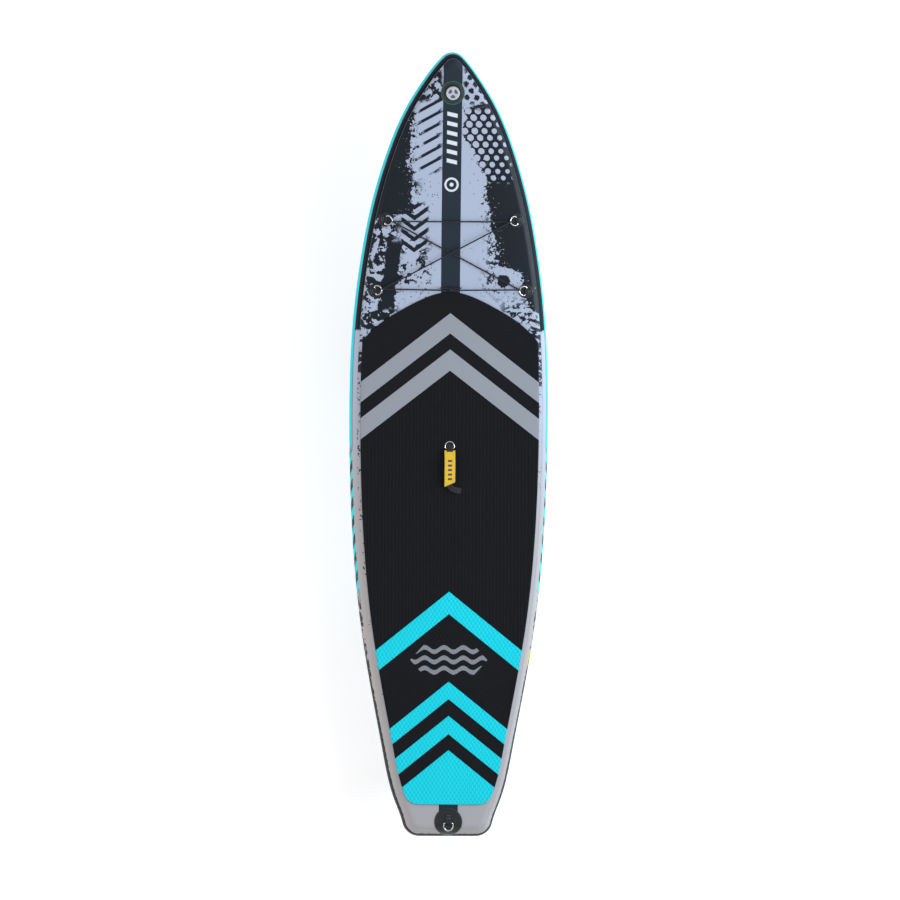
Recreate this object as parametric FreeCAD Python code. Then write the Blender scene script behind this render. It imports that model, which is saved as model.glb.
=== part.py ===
"""Inflatable stand up paddleboard, 10 ft 6 in by 32 in by 6 in, in millimetres.

The nose points along +Y, starboard is +X, port is -X and up is +Z. The origin is on the flat
middle of the hull's underside, on the centreline, half way along the board.

Every curved skin is made flat and then lifted by the rocker: a point at (x, y, z) of the flat
board goes to z + lift(y). A height "above the deck" is measured on the flat board.
"""
import FreeCAD
import Part
import math
import os

V = FreeCAD.Vector
UP = V(0, 0, 1)

# ---- driving dimensions -------------------------------------------------------------------
LENGTH = 3200.0
THICKNESS = 150.0
RAIL_BULGE = 48.5          # how far the bare rail stands out past the flat deck
SKIN = 1.3                 # PVC skin
GLUE = 0.5                 # glue line between bonded layers
BAND_LAYER = 1.0           # outer rail band
BAND_TURN = 27.0           # the outer band starts this many degrees round from the deck

NOSE_ROCKER, NOSE_ROCKER_START = 150.0, 200.0
TAIL_ROCKER, TAIL_ROCKER_START = 25.0, -1000.0

PAD_BACKING = (0.3, 1.3)   # black foam backing, heights above the deck
PAD_SHEET = (1.5, 5.5)     # coloured foam on the backing
PAD_INSET = 41.0           # from the board's widest line to the pad's edge
PAD_GAP = 1.2              # cut line between two foam pieces
CHEVRON_SLOPE_FRONT, CHEVRON_SLOPE_REAR = 0.775, 0.805

WIRE_R = 2.5               # D-ring wire
CORD_R = 2.5               # bungee cord
RING_HALF = 18.5           # half width of a D-ring, to the middle of its wire
WEB_WIDTH, WEB_THICK = 25.0, 1.6
TAB_LIFT = 1.9             # underside of a tab's webbing, above the deck
BAR_Z = 6.3                # middle of a D-ring's bar above the deck

MID_Z = THICKNESS / 2
HALF_LENGTH = LENGTH / 2
FULL_BULGE = RAIL_BULGE + GLUE + BAND_LAYER
BIG = 2000.0


# ---- rocker -------------------------------------------------------------------------------
def arc_radius(run, rise):
    return (run * run + rise * rise) / (2 * rise)


NOSE_R = arc_radius(HALF_LENGTH - NOSE_ROCKER_START, NOSE_ROCKER)
TAIL_R = arc_radius(HALF_LENGTH + TAIL_ROCKER_START, TAIL_ROCKER)


def lift(y):
    """Height that the rocker adds at y."""
    if y > NOSE_ROCKER_START:
        return NOSE_R - math.sqrt(NOSE_R ** 2 - (y - NOSE_ROCKER_START) ** 2)
    if y < TAIL_ROCKER_START:
        return TAIL_R - math.sqrt(TAIL_R ** 2 - (y - TAIL_ROCKER_START) ** 2)
    return 0.0


def slope(y):
    """Angle of the deck at y, in radians, positive where it climbs towards the nose."""
    if y > NOSE_ROCKER_START:
        return math.asin((y - NOSE_ROCKER_START) / NOSE_R)
    if y < TAIL_ROCKER_START:
        return math.asin((y - TAIL_ROCKER_START) / TAIL_R)
    return 0.0


def rocker_edges(z, x):
    """The rocker line at flat height z in the plane x, from tail to nose: arc, line, arc."""
    def at(y):
        return V(x, y, z + lift(y))

    end = HALF_LENGTH + 60
    tail_mid, nose_mid = (TAIL_ROCKER_START - end) / 2, (NOSE_ROCKER_START + end) / 2
    return [
        Part.Arc(at(-end), at(tail_mid), at(TAIL_ROCKER_START)).toShape(),
        Part.LineSegment(at(TAIL_ROCKER_START), at(NOSE_ROCKER_START)).toShape(),
        Part.Arc(at(NOSE_ROCKER_START), at(nose_mid), at(end)).toShape(),
    ]


def slab(low, high):
    """Everything between two flat heights, lifted by the rocker."""
    x = -600.0
    lower, upper = rocker_edges(low, x), rocker_edges(high, x)
    nose = Part.LineSegment(lower[-1].lastVertex().Point, upper[-1].lastVertex().Point)
    tail = Part.LineSegment(lower[0].firstVertex().Point, upper[0].firstVertex().Point)
    wire = Part.Wire(Part.__sortEdges__(lower + upper + [nose.toShape(), tail.toShape()]))
    return Part.Face(wire).extrude(V(-2 * x, 0, 0))


# ---- planform -----------------------------------------------------------------------------
NOSE_TIP_R, TAIL_CORNER_R = 60.0, 70.0
NOSE_HALF_ANGLE, TAIL_FLARE = math.radians(45), math.radians(13.5)
TAIL_CORNER_X = 115.0
SIDE_POINTS = [            # the board's widest line, starboard, from tail to nose
    (218, -1448), (265, -1253), (353, -763), (392, -371), (406.4, 69), (393.5, 510),
    (357, 804), (318, 1000), (261, 1195), (177.5, 1391), (116.3, 1489),
]
TAIL_CORNER = V(TAIL_CORNER_X, -HALF_LENGTH + TAIL_CORNER_R, 0)
NOSE_CENTRE = V(0, HALF_LENGTH - NOSE_TIP_R, 0)
SIDE_STATIONS, ARC_STATIONS = 30, 6


def side_curve():
    start = V(math.cos(TAIL_FLARE), -math.sin(TAIL_FLARE), 0) * TAIL_CORNER_R + TAIL_CORNER
    end = V(math.cos(NOSE_HALF_ANGLE), math.sin(NOSE_HALF_ANGLE), 0) * NOSE_TIP_R + NOSE_CENTRE
    curve = Part.BSplineCurve()
    curve.interpolate(
        Points=[start] + [V(x, y, 0) for x, y in SIDE_POINTS] + [end],
        InitialTangent=V(math.sin(TAIL_FLARE), math.cos(TAIL_FLARE), 0),
        FinalTangent=V(-math.sin(NOSE_HALF_ANGLE), math.cos(NOSE_HALF_ANGLE), 0),
    )
    return curve


def frames():
    """Points of the flat deck's edge with their outward normals, tail centre to nose centre."""
    found = [(V(x, -HALF_LENGTH, 0), V(0, -1, 0)) for x in (0, 40, 80, 105)]

    def arc(centre, radius, start, end, steps):
        for i in steps:
            a = start + (end - start) * i / ARC_STATIONS
            n = V(math.cos(a), math.sin(a), 0)
            found.append((centre + n * radius, n))

    arc(TAIL_CORNER, TAIL_CORNER_R, -math.pi / 2, -TAIL_FLARE, range(ARC_STATIONS))
    side = side_curve()
    first, last = side.FirstParameter, side.LastParameter
    for i in range(SIDE_STATIONS + 1):
        u = first + (last - first) * i / SIDE_STATIONS
        t = side.tangent(u)[0]
        found.append((side.value(u), V(t.y, -t.x, 0).normalize()))
    arc(NOSE_CENTRE, NOSE_TIP_R, NOSE_HALF_ANGLE, math.pi / 2, range(1, ARC_STATIONS + 1))
    return [(p - n * FULL_BULGE, n) for p, n in found]


FRAMES = frames()


def mirrored(shape):
    return shape.mirror(V(0, 0, 0), V(1, 0, 0))


def planform(grow=0.0):
    """Face of the flat deck, grown outwards, at z = 0."""
    def side(sign):
        points = [V(sign * (p.x + n.x * grow), p.y + n.y * grow, 0) for p, n in FRAMES]
        points = points[2:]
        curve = Part.BSplineCurve()
        curve.interpolate(points)
        return curve.toShape(), points

    right, points = side(1)
    left, _ = side(-1)
    tail = Part.LineSegment(V(-points[0].x, points[0].y, 0), points[0]).toShape()
    return Part.Face(Part.Wire([tail, right, left]))


def column(face, low=-BIG, high=BIG):
    """A flat face carried up and down as a vertical prism."""
    lower = face.copy()
    lower.translate(V(0, 0, low))
    return lower.extrude(V(0, 0, high - low))


# ---- rails --------------------------------------------------------------------------------
RAIL_POINTS = 10


def rail_strip(low, high, start, end):
    """Starboard rail skin between two offsets of the bare rail, for turns start to end.

    The turn is 0 degrees on the deck, 90 at the board's widest line and 180 underneath.
    """
    turns = [math.radians(start + (end - start) * i / RAIL_POINTS) for i in range(RAIL_POINTS + 1)]

    def section(p, n):
        def bulge(offset):
            points = []
            for turn in turns:
                q = p + n * ((RAIL_BULGE + offset) * math.sin(turn))
                z = MID_Z + (MID_Z + offset) * math.cos(turn)
                points.append(V(q.x, q.y, z + lift(q.y)))
            curve = Part.BSplineCurve()
            curve.interpolate(points)
            return curve.toShape(), points

        outer, outer_points = bulge(high)
        inner, inner_points = bulge(low)
        top = Part.LineSegment(inner_points[0], outer_points[0]).toShape()
        bottom = Part.LineSegment(outer_points[-1], inner_points[-1]).toShape()
        return Part.Wire([top, outer, bottom, inner])

    return Part.makeLoft([section(p, n) for p, n in FRAMES], True, False)


def deck_layer(face, low, high):
    """Sheet of a flat outline laid on the deck, between two heights above it."""
    return column(face).common(slab(THICKNESS + low, THICKNESS + high))


# ---- hull ---------------------------------------------------------------------------------
YARN_R, YARN_PITCH = 0.8, 110.0
YARN_EDGE = 30.0           # the yarns stop this far inside the flat deck's edge
VALVE_Y = 1433.0
VALVE_HOLE_R = 25.0
SEAM = 0.25                # gap between the flat sheets and the rails


def hull():
    wall = rail_strip(-SKIN, 0, 0, 180)
    band = rail_strip(GLUE, GLUE + BAND_LAYER, BAND_TURN, 180 - BAND_TURN)
    sheet = planform(-SEAM)
    hole = on_deck(Part.makeCylinder(VALVE_HOLE_R, 30, V(0, 0, -20)), 0, VALVE_Y)
    return {
        "deck_skin": deck_layer(sheet, -SKIN, 0).cut(hole),
        "bottom_skin": column(sheet).common(slab(0, SKIN)),
        "rail_wall_starboard": wall,
        "rail_wall_port": mirrored(wall),
        "rail_band_starboard": band,
        "rail_band_port": mirrored(band),
        "drop_stitch_yarns": yarns(),
    }


def yarns():
    """Threads that hold deck and bottom the same distance apart, drawn as sparse bundles."""
    gap = 0.3
    flat = planform(-YARN_EDGE)
    rows = int(HALF_LENGTH / YARN_PITCH)
    found = []
    for i in range(-rows, rows + 1):
        y = i * YARN_PITCH
        shift = YARN_PITCH / 2 if i % 2 else 0.0
        for k in range(-4, 5):
            x = k * YARN_PITCH + shift
            clear = math.hypot(x, y - VALVE_Y) > 60
            if clear and flat.isInside(V(x, y, 0), 0.01, True):
                foot = V(x, y, SKIN + gap + lift(y))
                found.append(Part.makeCylinder(YARN_R, THICKNESS - 2 * (SKIN + gap), foot))
    return Part.makeCompound(found)


# ---- placing things on the deck -----------------------------------------------------------
def deck_placement(x, y, turn=0.0):
    """Frame on the deck's surface: local +Z is its normal, turned by degrees about it."""
    tilt = FreeCAD.Rotation(V(1, 0, 0), math.degrees(slope(y)))
    spin = FreeCAD.Rotation(UP, turn)
    return FreeCAD.Placement(V(x, y, THICKNESS + lift(y)), tilt.multiply(spin))


def on_deck(shape, x, y, turn=0.0):
    placed = shape.copy()
    placed.Placement = deck_placement(x, y, turn).multiply(placed.Placement)
    return placed


def extruded(points, vector):
    """Closed polygon carried along a vector."""
    return Part.Face(Part.makePolygon(points + points[:1])).extrude(vector)


def oval(half_x, half_y, x, y):
    """Ellipse face at z = 0."""
    if half_y > half_x:
        ellipse = Part.Ellipse(V(x, y + half_y, 0), V(x - half_x, y, 0), V(x, y, 0))
    else:
        ellipse = Part.Ellipse(V(x + half_x, y, 0), V(x, y + half_y, 0), V(x, y, 0))
    return Part.Face(Part.Wire([ellipse.toShape()]))


def disc(radius, x, y):
    """Circle face at z = 0."""
    return Part.Face(Part.Wire([Part.Circle(V(x, y, 0), UP, radius).toShape()]))


# ---- traction pad -------------------------------------------------------------------------
PAD_FRONT = [(0, 622), (177, 561), (295, 486), (368, 410)]
PAD_REAR_Y, PAD_REAR_HALF, PAD_CORNER_R = -1470.0, 120.6, 62.0
# name, y of the piece's front point on the centreline, and the slope of its front edge
PAD_PIECES = [
    ("pad_nose_black", 622.0, CHEVRON_SLOPE_FRONT),
    ("pad_chevron_grey_front", 537.5, CHEVRON_SLOPE_FRONT),
    ("pad_chevron_black_front", 452.0, CHEVRON_SLOPE_FRONT),
    ("pad_chevron_grey_rear", 389.5, CHEVRON_SLOPE_FRONT),
    ("pad_main_grooved", 300.5, CHEVRON_SLOPE_FRONT),
    ("pad_chevron_turquoise_front", -600.0, CHEVRON_SLOPE_REAR),
    ("pad_emblem_panel", -693.5, CHEVRON_SLOPE_REAR),
    ("pad_chevron_turquoise_mid", -967.5, CHEVRON_SLOPE_REAR),
    ("pad_chevron_black_mid", -1041.0, CHEVRON_SLOPE_REAR),
    ("pad_chevron_turquoise_rear", -1107.0, CHEVRON_SLOPE_REAR),
    ("pad_chevron_black_rear", -1184.0, CHEVRON_SLOPE_REAR),
    ("pad_tail_turquoise", -1247.0, CHEVRON_SLOPE_REAR),
]


def pad_outline():
    """Face of the whole pad at z = 0."""
    corner = V(PAD_REAR_HALF, PAD_REAR_Y + PAD_CORNER_R, 0)
    flare = math.radians(14)
    mid = (math.pi / 2 + flare) / 2
    arc_end = corner + V(math.cos(flare), -math.sin(flare), 0) * PAD_CORNER_R
    arc_mid = corner + V(math.cos(mid), -math.sin(mid), 0) * PAD_CORNER_R
    rear = V(PAD_REAR_HALF, PAD_REAR_Y, 0)
    far = 900.0
    side = [p + n * (FULL_BULGE - PAD_INSET) for p, n in FRAMES if -1360 < p.y < far]

    def half(sign):
        def flip(points):
            return [V(sign * p.x, p.y, 0) for p in points]

        curve = Part.BSplineCurve()
        curve.interpolate(flip([arc_end] + side))
        arc = Part.Arc(*flip([arc_end, arc_mid, rear]))
        return [curve.toShape(), arc.toShape()], flip(side)[-1]

    right, right_end = half(1)
    left, left_end = half(-1)
    front = Part.LineSegment(right_end, left_end).toShape()
    tail = Part.LineSegment(V(-PAD_REAR_HALF, PAD_REAR_Y, 0), rear).toShape()
    body = Part.Face(Part.Wire(Part.__sortEdges__(right + left + [front, tail])))
    nose = Part.BSplineCurve()
    across = [(-x, y) for x, y in reversed(PAD_FRONT[1:])] + PAD_FRONT
    nose.interpolate([V(x, y, 0) for x, y in across])
    half_x = PAD_FRONT[-1][0]
    box = [V(half_x, PAD_FRONT[-1][1], 0), V(half_x, -BIG, 0), V(-half_x, -BIG, 0),
           V(-half_x, PAD_FRONT[-1][1], 0)]
    sides = [Part.LineSegment(a, b).toShape() for a, b in zip(box, box[1:])]
    limit = Part.Face(Part.Wire(Part.__sortEdges__([nose.toShape()] + sides)))
    return body, limit


def chevron_band(front, front_slope, rear, rear_slope, lip):
    """Prism between two chevron lines, with half a cut line taken off each."""
    wide = 600.0
    points = [
        V(-wide, front - front_slope * wide - lip, 0), V(0, front - lip, 0),
        V(wide, front - front_slope * wide - lip, 0),
        V(wide, rear - rear_slope * wide + lip, 0), V(0, rear + lip, 0),
        V(-wide, rear - rear_slope * wide + lip, 0),
    ]
    return column(Part.Face(Part.makePolygon(points + points[:1])))


def traction_pad():
    body, limit = pad_outline()
    outline = body.common(limit).Faces[0]
    nodes = {"pad_backing": deck_layer(outline, *PAD_BACKING).cut(handle_slots())}
    sheet = deck_layer(outline, *PAD_SHEET).cut(handle_slots())
    for i, (name, front, front_slope) in enumerate(PAD_PIECES):
        if i + 1 < len(PAD_PIECES):
            rear, rear_slope = PAD_PIECES[i + 1][1:]
        else:
            rear, rear_slope = -BIG, 0.0
        if i == 0:
            front, front_slope = BIG, 0.0
        band = chevron_band(front, front_slope, rear, rear_slope, PAD_GAP / 2)
        nodes[name] = sheet.common(band)
    return nodes


# ---- D-rings ------------------------------------------------------------------------------
def d_ring(leg, half=RING_HALF, corner=5.0):
    """D-ring flat in local XY, its bar along Y at the origin, its round end towards +X."""
    h, c = half, corner
    q = c * (1 - math.sqrt(0.5))
    edges = [
        Part.LineSegment(V(0, -h + c, 0), V(0, h - c, 0)),
        Part.Arc(V(0, h - c, 0), V(q, h - q, 0), V(c, h, 0)),
        Part.LineSegment(V(c, h, 0), V(leg, h, 0)),
        Part.Arc(V(leg, h, 0), V(leg + h, 0, 0), V(leg, -h, 0)),
        Part.LineSegment(V(leg, -h, 0), V(c, -h, 0)),
        Part.Arc(V(c, -h, 0), V(q, -h + q, 0), V(0, -h + c, 0)),
    ]
    path = Part.Wire([e.toShape() for e in edges])
    profile = Part.Wire([Part.Circle(V(0, 0, 0), V(0, 1, 0), WIRE_R).toShape()])
    ring = path.makePipeShell([profile], True, False)
    return ring


def tilted(shape, degrees, z):
    """Tips a ring up about its bar and lifts the bar to height z."""
    shape = shape.copy()
    shape.rotate(V(0, 0, 0), V(0, 1, 0), -degrees)
    shape.translate(V(0, 0, z))
    return shape


def tab(length, lower=TAB_LIFT):
    """Webbing folded round a ring's bar: two layers that lie towards -X, and the fold."""
    inner = WIRE_R + 0.3
    outer = inner + WEB_THICK
    half = WEB_WIDTH / 2
    fold = Part.makeCylinder(outer, WEB_WIDTH, V(0, -half, BAR_Z), V(0, 1, 0))
    fold = fold.cut(Part.makeCylinder(inner, WEB_WIDTH + 2, V(0, -half - 1, BAR_Z), V(0, 1, 0)))
    throat = 5.0
    fold = fold.cut(Part.makeBox(outer * 2, WEB_WIDTH + 2, outer * 2,
                                 V(-outer * 2 - throat + 1.2, -half - 1, BAR_Z - outer)))
    low = extruded([
        V(1.0, -half, BAR_Z - outer + 0.12), V(-throat - 3, -half, lower + 0.2),
        V(-length, -half, lower), V(-length, -half, lower + WEB_THICK),
        V(-throat - 3, -half, lower + 0.2 + WEB_THICK), V(1.0, -half, BAR_Z - inner + 0.0),
    ], V(0, WEB_WIDTH, 0))
    top = lower + 2 * WEB_THICK
    high = extruded([
        V(0.6, -half, BAR_Z + outer - 0.1), V(-throat - 3, -half, top + 0.2),
        V(-length, -half, top), V(-length, -half, top - WEB_THICK),
        V(-throat - 3, -half, top + 0.2 - WEB_THICK), V(0.6, -half, BAR_Z + inner - 0.1),
    ], V(0, WEB_WIDTH, 0))
    bore = Part.makeCylinder(inner, WEB_WIDTH + 2, V(0, -half - 1, BAR_Z), V(0, 1, 0))
    return fold.fuse([low, high]).cut(bore).removeSplitter()


PATCH_LAYER = (0.3, 1.5)
RING_LEG = 8.0
RING_REST_TILT = 11.0
BUNGEE_PATCH_R = 29.0
# corner name: x of the bar, y of the bar, direction of the ring's round end in degrees
BUNGEE_CORNERS = {
    "front_port": (-268.0, 916.0, -13.0),
    "front_starboard": (268.0, 916.0, 193.0),
    "rear_port": (-308.0, 627.0, 13.0),
    "rear_starboard": (308.0, 627.0, 167.0),
}


def bungee_rings():
    nodes = {}
    for corner, (x, y, turn) in BUNGEE_CORNERS.items():
        nodes["bungee_patch_" + corner] = deck_layer(disc(BUNGEE_PATCH_R, x, y), *PATCH_LAYER)
        nodes["bungee_tab_" + corner] = on_deck(tab(21.0), x, y, turn)
        ring = tilted(d_ring(RING_LEG), RING_REST_TILT, BAR_Z)
        nodes["bungee_ring_" + corner] = on_deck(ring, x, y, turn)
    return nodes


LEASH_Y = -1546.0
LEASH_LEG = 12.0
LEASH_TILT = -12.0
LEASH_PATCH_Y, LEASH_PATCH_R = -1540.0, 57.0
TAIL_EDGE = -HALF_LENGTH + FULL_BULGE


def tail_skin_line(offset):
    """YZ points of a line over the tail, from the flat deck down the curve, at an offset."""
    points = [(TAIL_EDGE + 80 - 16 * i, THICKNESS + offset) for i in range(5)]
    for i in range(9):
        turn = math.radians(8 * i)
        y = TAIL_EDGE - (RAIL_BULGE + offset) * math.sin(turn)
        points.append((y, MID_Z + (MID_Z + offset) * math.cos(turn)))
    return [V(0, y, z + lift(y)) for y, z in points]


def leash_patch():
    """Round patch bent over the tail."""
    lines = [tail_skin_line(GLUE + BAND_LAYER + offset) for offset in PATCH_LAYER]
    curves = []
    for points in lines:
        curve = Part.BSplineCurve()
        curve.interpolate(points)
        curves.append(curve.toShape())
    ends = [Part.LineSegment(lines[0][k], lines[1][k]).toShape() for k in (0, -1)]
    profile = Part.Face(Part.Wire(Part.__sortEdges__(curves + ends)))
    profile.translate(V(-80, 0, 0))
    round_cut = Part.makeCylinder(LEASH_PATCH_R, 400, V(0, LEASH_PATCH_Y, 0))
    return profile.extrude(V(160, 0, 0)).common(round_cut)


def leash_point():
    raised = GLUE + BAND_LAYER
    ring = tilted(d_ring(LEASH_LEG, half=19.0), LEASH_TILT, BAR_Z + raised)
    tabbed = tab(36.0)
    tabbed.translate(V(0, 0, raised))
    return {
        "leash_patch": leash_patch(),
        "leash_tab": on_deck(tabbed, 0, LEASH_Y, -90),
        "leash_ring": on_deck(ring, 0, LEASH_Y, -90),
    }


# ---- bungee cord --------------------------------------------------------------------------
WRAP = WIRE_R + CORD_R + 0.5     # cord's middle to the wire's middle, over and under it
KNOT_Y, TAIL_STEP, TAIL_REACH = 631.0, 6.0, 44.0


def ring_pass(corner, first_over):
    """The cord's points round the end of one ring, given if it arrives over the wire."""
    x, y, turn = BUNGEE_CORNERS[corner]
    a = math.radians(RING_REST_TILT)
    reach = RING_LEG + RING_HALF
    ex, ez = reach * math.cos(a), BAR_Z + reach * math.sin(a)
    over, under = V(ex - WRAP, 0, ez + WRAP), V(ex - WRAP, 0, ez - WRAP)
    place = deck_placement(x, y, turn)
    points = [place.multVec(over), place.multVec(under)]
    return points if first_over else points[::-1]


def cord_route():
    """One tour of the lacing, from one cut end at the knot to the other."""
    z = THICKNESS + lift(KNOT_Y)
    low, high = z + 9.5, z + 15.6
    front = KNOT_Y + TAIL_STEP
    route = [V(TAIL_REACH, front, low), V(10, front, low), V(-10, KNOT_Y - 2, low)]
    route += ring_pass("rear_port", False)
    route += ring_pass("front_starboard", True)
    route += ring_pass("front_port", True)
    route += ring_pass("rear_starboard", False)
    route += [V(10, KNOT_Y - 2, high), V(-10, front, high), V(-TAIL_REACH, front, high)]
    return route


def rounded_path(points):
    """Straight runs joined by arcs as large as the runs beside them allow."""
    edges, start = [], points[0]
    for a, b, c in zip(points, points[1:], points[2:]):
        back, ahead = (a - b), (c - b)
        turn = math.pi - back.getAngle(ahead)
        trim = 0.45 * min(back.Length, ahead.Length)
        radius = min(trim / math.tan(turn / 2), 60.0)
        trim = radius * math.tan(turn / 2)
        back, ahead = back.normalize(), ahead.normalize()
        p, q = b + back * trim, b + ahead * trim
        inwards = (back + ahead).normalize()
        mid = b + inwards * (radius / math.cos(turn / 2) - radius)
        edges += [Part.LineSegment(start, p).toShape(), Part.Arc(p, mid, q).toShape()]
        start = q
    edges.append(Part.LineSegment(start, points[-1]).toShape())
    return Part.Wire(edges)


def tube(points, radius):
    path = rounded_path(points)
    direction = (points[1] - points[0]).normalize()
    profile = Part.Wire([Part.Circle(points[0], direction, radius).toShape()])
    solid = path.makePipeShell([profile], True, False)
    share = solid.Volume / (math.pi * radius ** 2 * path.Length)
    print(f"tube {path.Length:.0f} mm long, volume over section times length {share:.4f}")
    return solid


def bungee():
    z = THICKNESS + lift(KNOT_Y) + 12.5
    y = KNOT_Y + TAIL_STEP / 2 - 1
    turns = [Part.makeTorus(7.2, 2.4, V(x, y, z), V(1, 0, 0)) for x in (-4.4, 0, 4.4)]
    cord = tube(cord_route(), CORD_R)
    near_knot = cord.common(Part.makeBox(40, 40, 40, V(-20, y - 20, z - 20)))
    return {
        "bungee_cord": cord,
        "bungee_knot": turns[0].fuse(turns[1:]).cut(near_knot),
    }


# ---- carry handle -------------------------------------------------------------------------
HANDLE_BAR_Y = -16.0
HANDLE_RING_LEG = 9.0
HANDLE_BAR_LIFT = 3.9      # middle of the handle ring's bar above the pad
SLEEVE_HALF_WIDTH = 22.0
HANDLE_TOP = 27.0          # middle of the strap above the pad's face, at mid grip
HANDLE_FRONT_SLOT = (0.0, 3.0)
HANDLE_REAR_SLOT = (46.0, -189.0)
REAR_TURN = -35.0          # the strap's rear end runs off to starboard, this far from abeam
ARCH_REAR = -176.0
PAD_TOP = THICKNESS + PAD_SHEET[1]


def slot_box(half_width, half_long, low, high, centre, turn):
    """Upright box about a point of the deck, its width across the strap."""
    box = Part.makeBox(2 * half_long, 2 * half_width, high - low, V(-half_long, -half_width, low))
    box.rotate(V(0, 0, 0), UP, turn)
    box.translate(V(centre[0], centre[1], THICKNESS))
    return box


def handle_slots():
    """Slits that the strap goes down through."""
    half = WEB_WIDTH / 2 + 1.5
    front = slot_box(half, 4.5, 0, 12, HANDLE_FRONT_SLOT, 90)
    return front.fuse(slot_box(half, 4.5, 0, 12, HANDLE_REAR_SLOT, REAR_TURN))


def strap_line(y_from, y_to, offset, steps=24):
    """Points of the arched strap, offset along its normal, from one y to another."""
    front, rear = HANDLE_BAR_Y, ARCH_REAR
    ends = PAD_TOP + 10.5

    def z(y):
        t = (front - y) / (front - rear)
        return ends + (PAD_TOP + HANDLE_TOP - ends) * math.sin(math.pi * min(max(t, 0), 1))

    found = []
    for i in range(steps + 1):
        y = y_from + (y_to - y_from) * i / steps
        d = (z(y + 0.5) - z(y - 0.5))
        n = V(0, -d, 1).normalize()
        found.append(V(0, y, z(y)) + n * offset)
    return found


def strap_solid(y_from, y_to, thick, half_width, offset=0.0):
    top = Part.BSplineCurve()
    top.interpolate(strap_line(y_from, y_to, offset + thick / 2))
    low = Part.BSplineCurve()
    low.interpolate(strap_line(y_from, y_to, offset - thick / 2))
    a, b = top.toShape(), low.toShape()
    ends = [
        Part.LineSegment(top.StartPoint, low.StartPoint).toShape(),
        Part.LineSegment(top.EndPoint, low.EndPoint).toShape(),
    ]
    face = Part.Face(Part.Wire(Part.__sortEdges__([a, b] + ends)))
    face.translate(V(-half_width, 0, 0))
    return face.extrude(V(2 * half_width, 0, 0))


def rear_run(foot_z, web, half):
    """Rear end of the strap: it leaves the sleeve, turns to starboard and goes down its slit."""
    last = strap_line(ARCH_REAR, ARCH_REAR, 0, 1)[0]
    x, y = HANDLE_REAR_SLOT
    reach = math.hypot(x, y - last.y)
    rise = last.z - PAD_TOP
    line = [(-10, rise), (0, rise), (reach * 0.55, rise * 0.8), (reach, rise * 0.35),
            (reach, foot_z - PAD_TOP)]
    heading = math.degrees(math.atan2(y - last.y, x))
    solids = []
    for (a0, z0), (a1, z1) in zip(line, line[1:]):
        along = V(a1 - a0, 0, z1 - z0)
        side = V(-along.z, 0, along.x).normalize() * (web / 2)
        a, b = V(a0, -half, z0), V(a1, -half, z1)
        solids.append(extruded([a + side, b + side, b - side, a - side], V(0, 2 * half, 0)))
        solids.append(Part.makeCylinder(web / 2, 2 * half, b, V(0, 1, 0)))
    run = solids[0].fuse(solids[1:-1])
    run.rotate(V(0, 0, 0), UP, heading)
    run.translate(V(0, last.y, PAD_TOP))
    return run


def carry_handle():
    half = WEB_WIDTH / 2
    bar_z = PAD_TOP + HANDLE_BAR_LIFT
    web = 2.0
    sleeve_front, sleeve_rear = -24.0, -164.0
    anchor_top = THICKNESS + 0.3

    def strip(points):
        """Webbing drawn by its middle line in the YZ plane, as runs with round joints."""
        solids = []
        for (y0, z0), (y1, z1) in zip(points, points[1:]):
            along = V(0, y1 - y0, z1 - z0)
            side = V(0, -along.z, along.y).normalize() * (web / 2)
            a, b = V(-half, y0, z0), V(-half, y1, z1)
            solids.append(extruded([a + side, b + side, b - side, a - side], V(2 * half, 0, 0)))
            solids.append(Part.makeCylinder(web / 2, 2 * half, b, V(1, 0, 0)))
        return solids[0].fuse(solids[1:-1])

    foot_z = anchor_top + 2.2
    r = WIRE_R + 0.3 + web / 2
    over = [(HANDLE_BAR_Y + r * math.cos(t), bar_z + r * math.sin(t))
            for t in [math.radians(a) for a in (20, 55, 90)]]
    first = strap_line(HANDLE_BAR_Y - 14, HANDLE_BAR_Y - 14, 0, 1)[0]
    y_front = HANDLE_FRONT_SLOT[1]
    front = [(y_front + 1, foot_z), (y_front, PAD_TOP + 0.5)] + over + [(first.y, first.z)]
    arch = strap_solid(HANDLE_BAR_Y - 13.8, ARCH_REAR, web, half)
    strap = strip(front).fuse([arch, rear_run(foot_z, web, half)])
    shell = strap_solid(sleeve_front, sleeve_rear, web + 5.2, SLEEVE_HALF_WIDTH)
    core = strap_solid(sleeve_front + 3, sleeve_rear - 3, web + 2.0, half + 0.8)
    ring = tilted(d_ring(HANDLE_RING_LEG), -2.0, 0)
    ring.rotate(V(0, 0, 0), UP, 90)
    ring.translate(V(0, HANDLE_BAR_Y, bar_z))

    return {
        "handle_webbing": strap,
        "handle_sleeve": shell.cut(core),
        "handle_ring": ring,
        "handle_foot_front": slot_box(half, 3.5, 0.3, 1.2, HANDLE_FRONT_SLOT, 90),
        "handle_foot_rear": slot_box(half, 3.5, 0.3, 1.2, HANDLE_REAR_SLOT, REAR_TURN),
    }


# ---- valve --------------------------------------------------------------------------------
VALVE_FLANGE_R = 30.5
COLLAR_R = 24.0
CAP_R = 28.0


def turned(points):
    """Solid of revolution about local Z from (radius, z) points."""
    wire = Part.makePolygon([V(r, 0, z) for r, z in points + points[:1]])
    return Part.Face(wire).revolve(V(0, 0, 0), UP, 360)


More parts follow.
